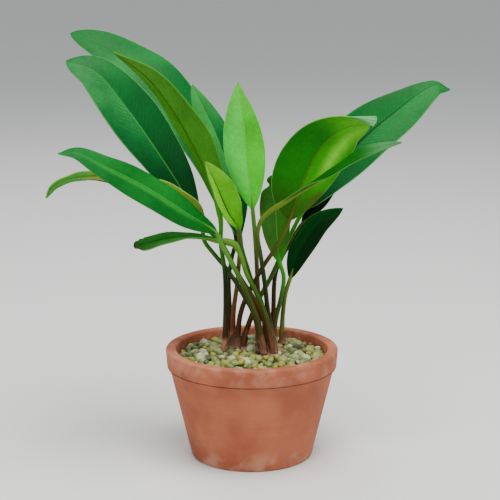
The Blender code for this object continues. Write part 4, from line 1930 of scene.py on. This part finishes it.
            left=Half(11.5, 0.7, 0.45), right=Half(10, 0.7, 0.65), face=(0, -1, 0.1), wave=0.6,
            notches=(Notch(0.88, -1, 0.045, 0.5),)),
        BladeFinish(
            left=(78, 128, 58), right=(76, 134, 48), base=(80, 152, 52), tip=(60, 120, 52),
            rib=(104, 164, 66), edge=(96, 140, 54), spots=(Spot(0.2, -1.0, 0.1, 0.14),),
            spot_colour=(150, 104, 48)),
        StalkFinish(low=(118, 108, 70), middle=(84, 116, 50), top=(84, 168, 54))),
    LeafPiece(
        "leaf_hidden_right",
        Leaf(
            foot=(15, 9),
            stalk=((275, 392, 10), (277, 354, 14), (283, 337, 17), (294, 318, 18)),
            rib=((305, 300, 20), (317, 286, 23), (333, 267, 27), (346, 250, 30)), left=Half(8, 0.9, 0.9),
            right=Half(5, 0.9, 0.9), face=(-0.3, -0.8, 0.6)),
        BladeFinish(
            left=(10, 60, 45), right=(12, 66, 44), base=(12, 62, 34), tip=(24, 92, 60), rib=(30, 84, 44),
            edge=(60, 110, 60)),
        StalkFinish(low=(110, 82, 48), middle=(98, 84, 42), top=(98, 92, 44))),
)


# The studio

@dataclass
class Lamp:
    """A soft square light: where it hangs, what it points at, its size and its power."""

    name: str
    place: Triple
    size: float
    power: float
    aim: Triple = (0.0, 0.0, 0.17)

    def hang(self) -> None:
        """Add the light to the scene."""
        data = bpy.data.lights.new(self.name, "AREA")
        data.shape = "SQUARE"
        data.size = self.size
        data.energy = self.power
        lamp = bpy.data.objects.new(self.name, data)
        bpy.context.scene.collection.objects.link(lamp)
        lamp.location = self.place
        lamp.rotation_euler = (Vector(self.aim) - Vector(self.place)).to_track_quat("-Z", "Y").to_euler()


@dataclass
class Studio:
    """A plain pale floor, soft light and the camera at the reference view's angle.

    The floor, the lamps' places and the far end of the view are in metres.
    """

    floor_colour: Colour = (226, 226, 222)
    floor_cloud: Cloud = Cloud(3, 2)
    floor_shade: float = 0.03
    floor_size: float = 24.0
    floor_roughness: float = 0.7
    sky: tuple[float, float, float, float] = (0.93, 0.96, 1.0, 1.0)
    air: float = 0.55
    sensor: float = 36.0
    lens: float = 104.0
    far_end: float = 100.0
    aim_height: float = 148.0
    lamps: tuple[Lamp, ...] = (
        Lamp("high_light", (0.15, -0.35, 1.5), 0.9, 30.0),
        Lamp("front_light", (-0.6, -1.6, 0.9), 1.3, 10.0),
        Lamp("right_light", (1.5, -0.4, 0.8), 1.2, 5.0),
        Lamp("back_light", (-0.5, 1.0, 1.5), 1.0, 9.0))

    def build(self) -> None:
        """Lay the floor, hang the lights and set up the camera."""
        self.floor()
        world = bpy.data.worlds.new("air")
        world.use_nodes = True
        background = world.node_tree.nodes["Background"]
        background.inputs["Color"].default_value = self.sky
        background.inputs["Strength"].default_value = self.air
        bpy.context.scene.world = world
        for lamp in self.lamps:
            lamp.hang()
        self.camera()

    def floor(self) -> None:
        """The floor, faintly clouded."""
        clear_choice()
        bpy.ops.mesh.primitive_plane_add(size=self.floor_size)
        floor = started()
        floor.name = "floor"
        mix = Recipe("floor")
        tone = mix.sum("MULTIPLY_ADD", mix.blotches(self.floor_cloud), -self.floor_shade, 1.0)
        colour = mix.shaded(self.floor_colour, tone)
        floor.data.materials.append(mix.finish(colour, self.floor_roughness))
        floor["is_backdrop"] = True

    def camera(self) -> None:
        """The camera, at the reference view's eye and aimed at the middle of the whole object."""
        data = bpy.data.cameras.new("camera")
        data.sensor_width = self.sensor
        data.lens = self.lens
        data.clip_end = self.far_end
        camera = bpy.data.objects.new("camera", data)
        bpy.context.scene.collection.objects.link(camera)
        camera.location = SIGHT.eye * MM
        ahead = Vector((SIGHT.target[0], 0.0, self.aim_height)) * MM - camera.location
        camera.rotation_euler = ahead.to_track_quat("-Z", "Y").to_euler()
        bpy.context.scene.camera = camera


def save_sizes() -> None:
    """Write the model's box and the dressed one's side by side."""
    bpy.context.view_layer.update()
    for name, box in (("solids", CAD_BOX), ("dressed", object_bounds())):
        log.info("%s, box in mm: %s", name, [[round(c / MM, 1) for c in corner] for corner in box])


def main() -> None:
    """Build the pot, the gravel, the creeping stem, the leaves and the studio."""
    logging.basicConfig(level=logging.INFO, format="%(message)s")
    pot = Pot()
    pot.build()
    Gravel(mouth=pot.mouth).build([piece.leaf.foot for piece in LEAVES])
    Crown().build([LeafForm(piece.leaf) for piece in LEAVES])
    for piece in LEAVES:
        piece.build()
    Studio().build()
    save_sizes()


if __name__ == "__main__":
    main()
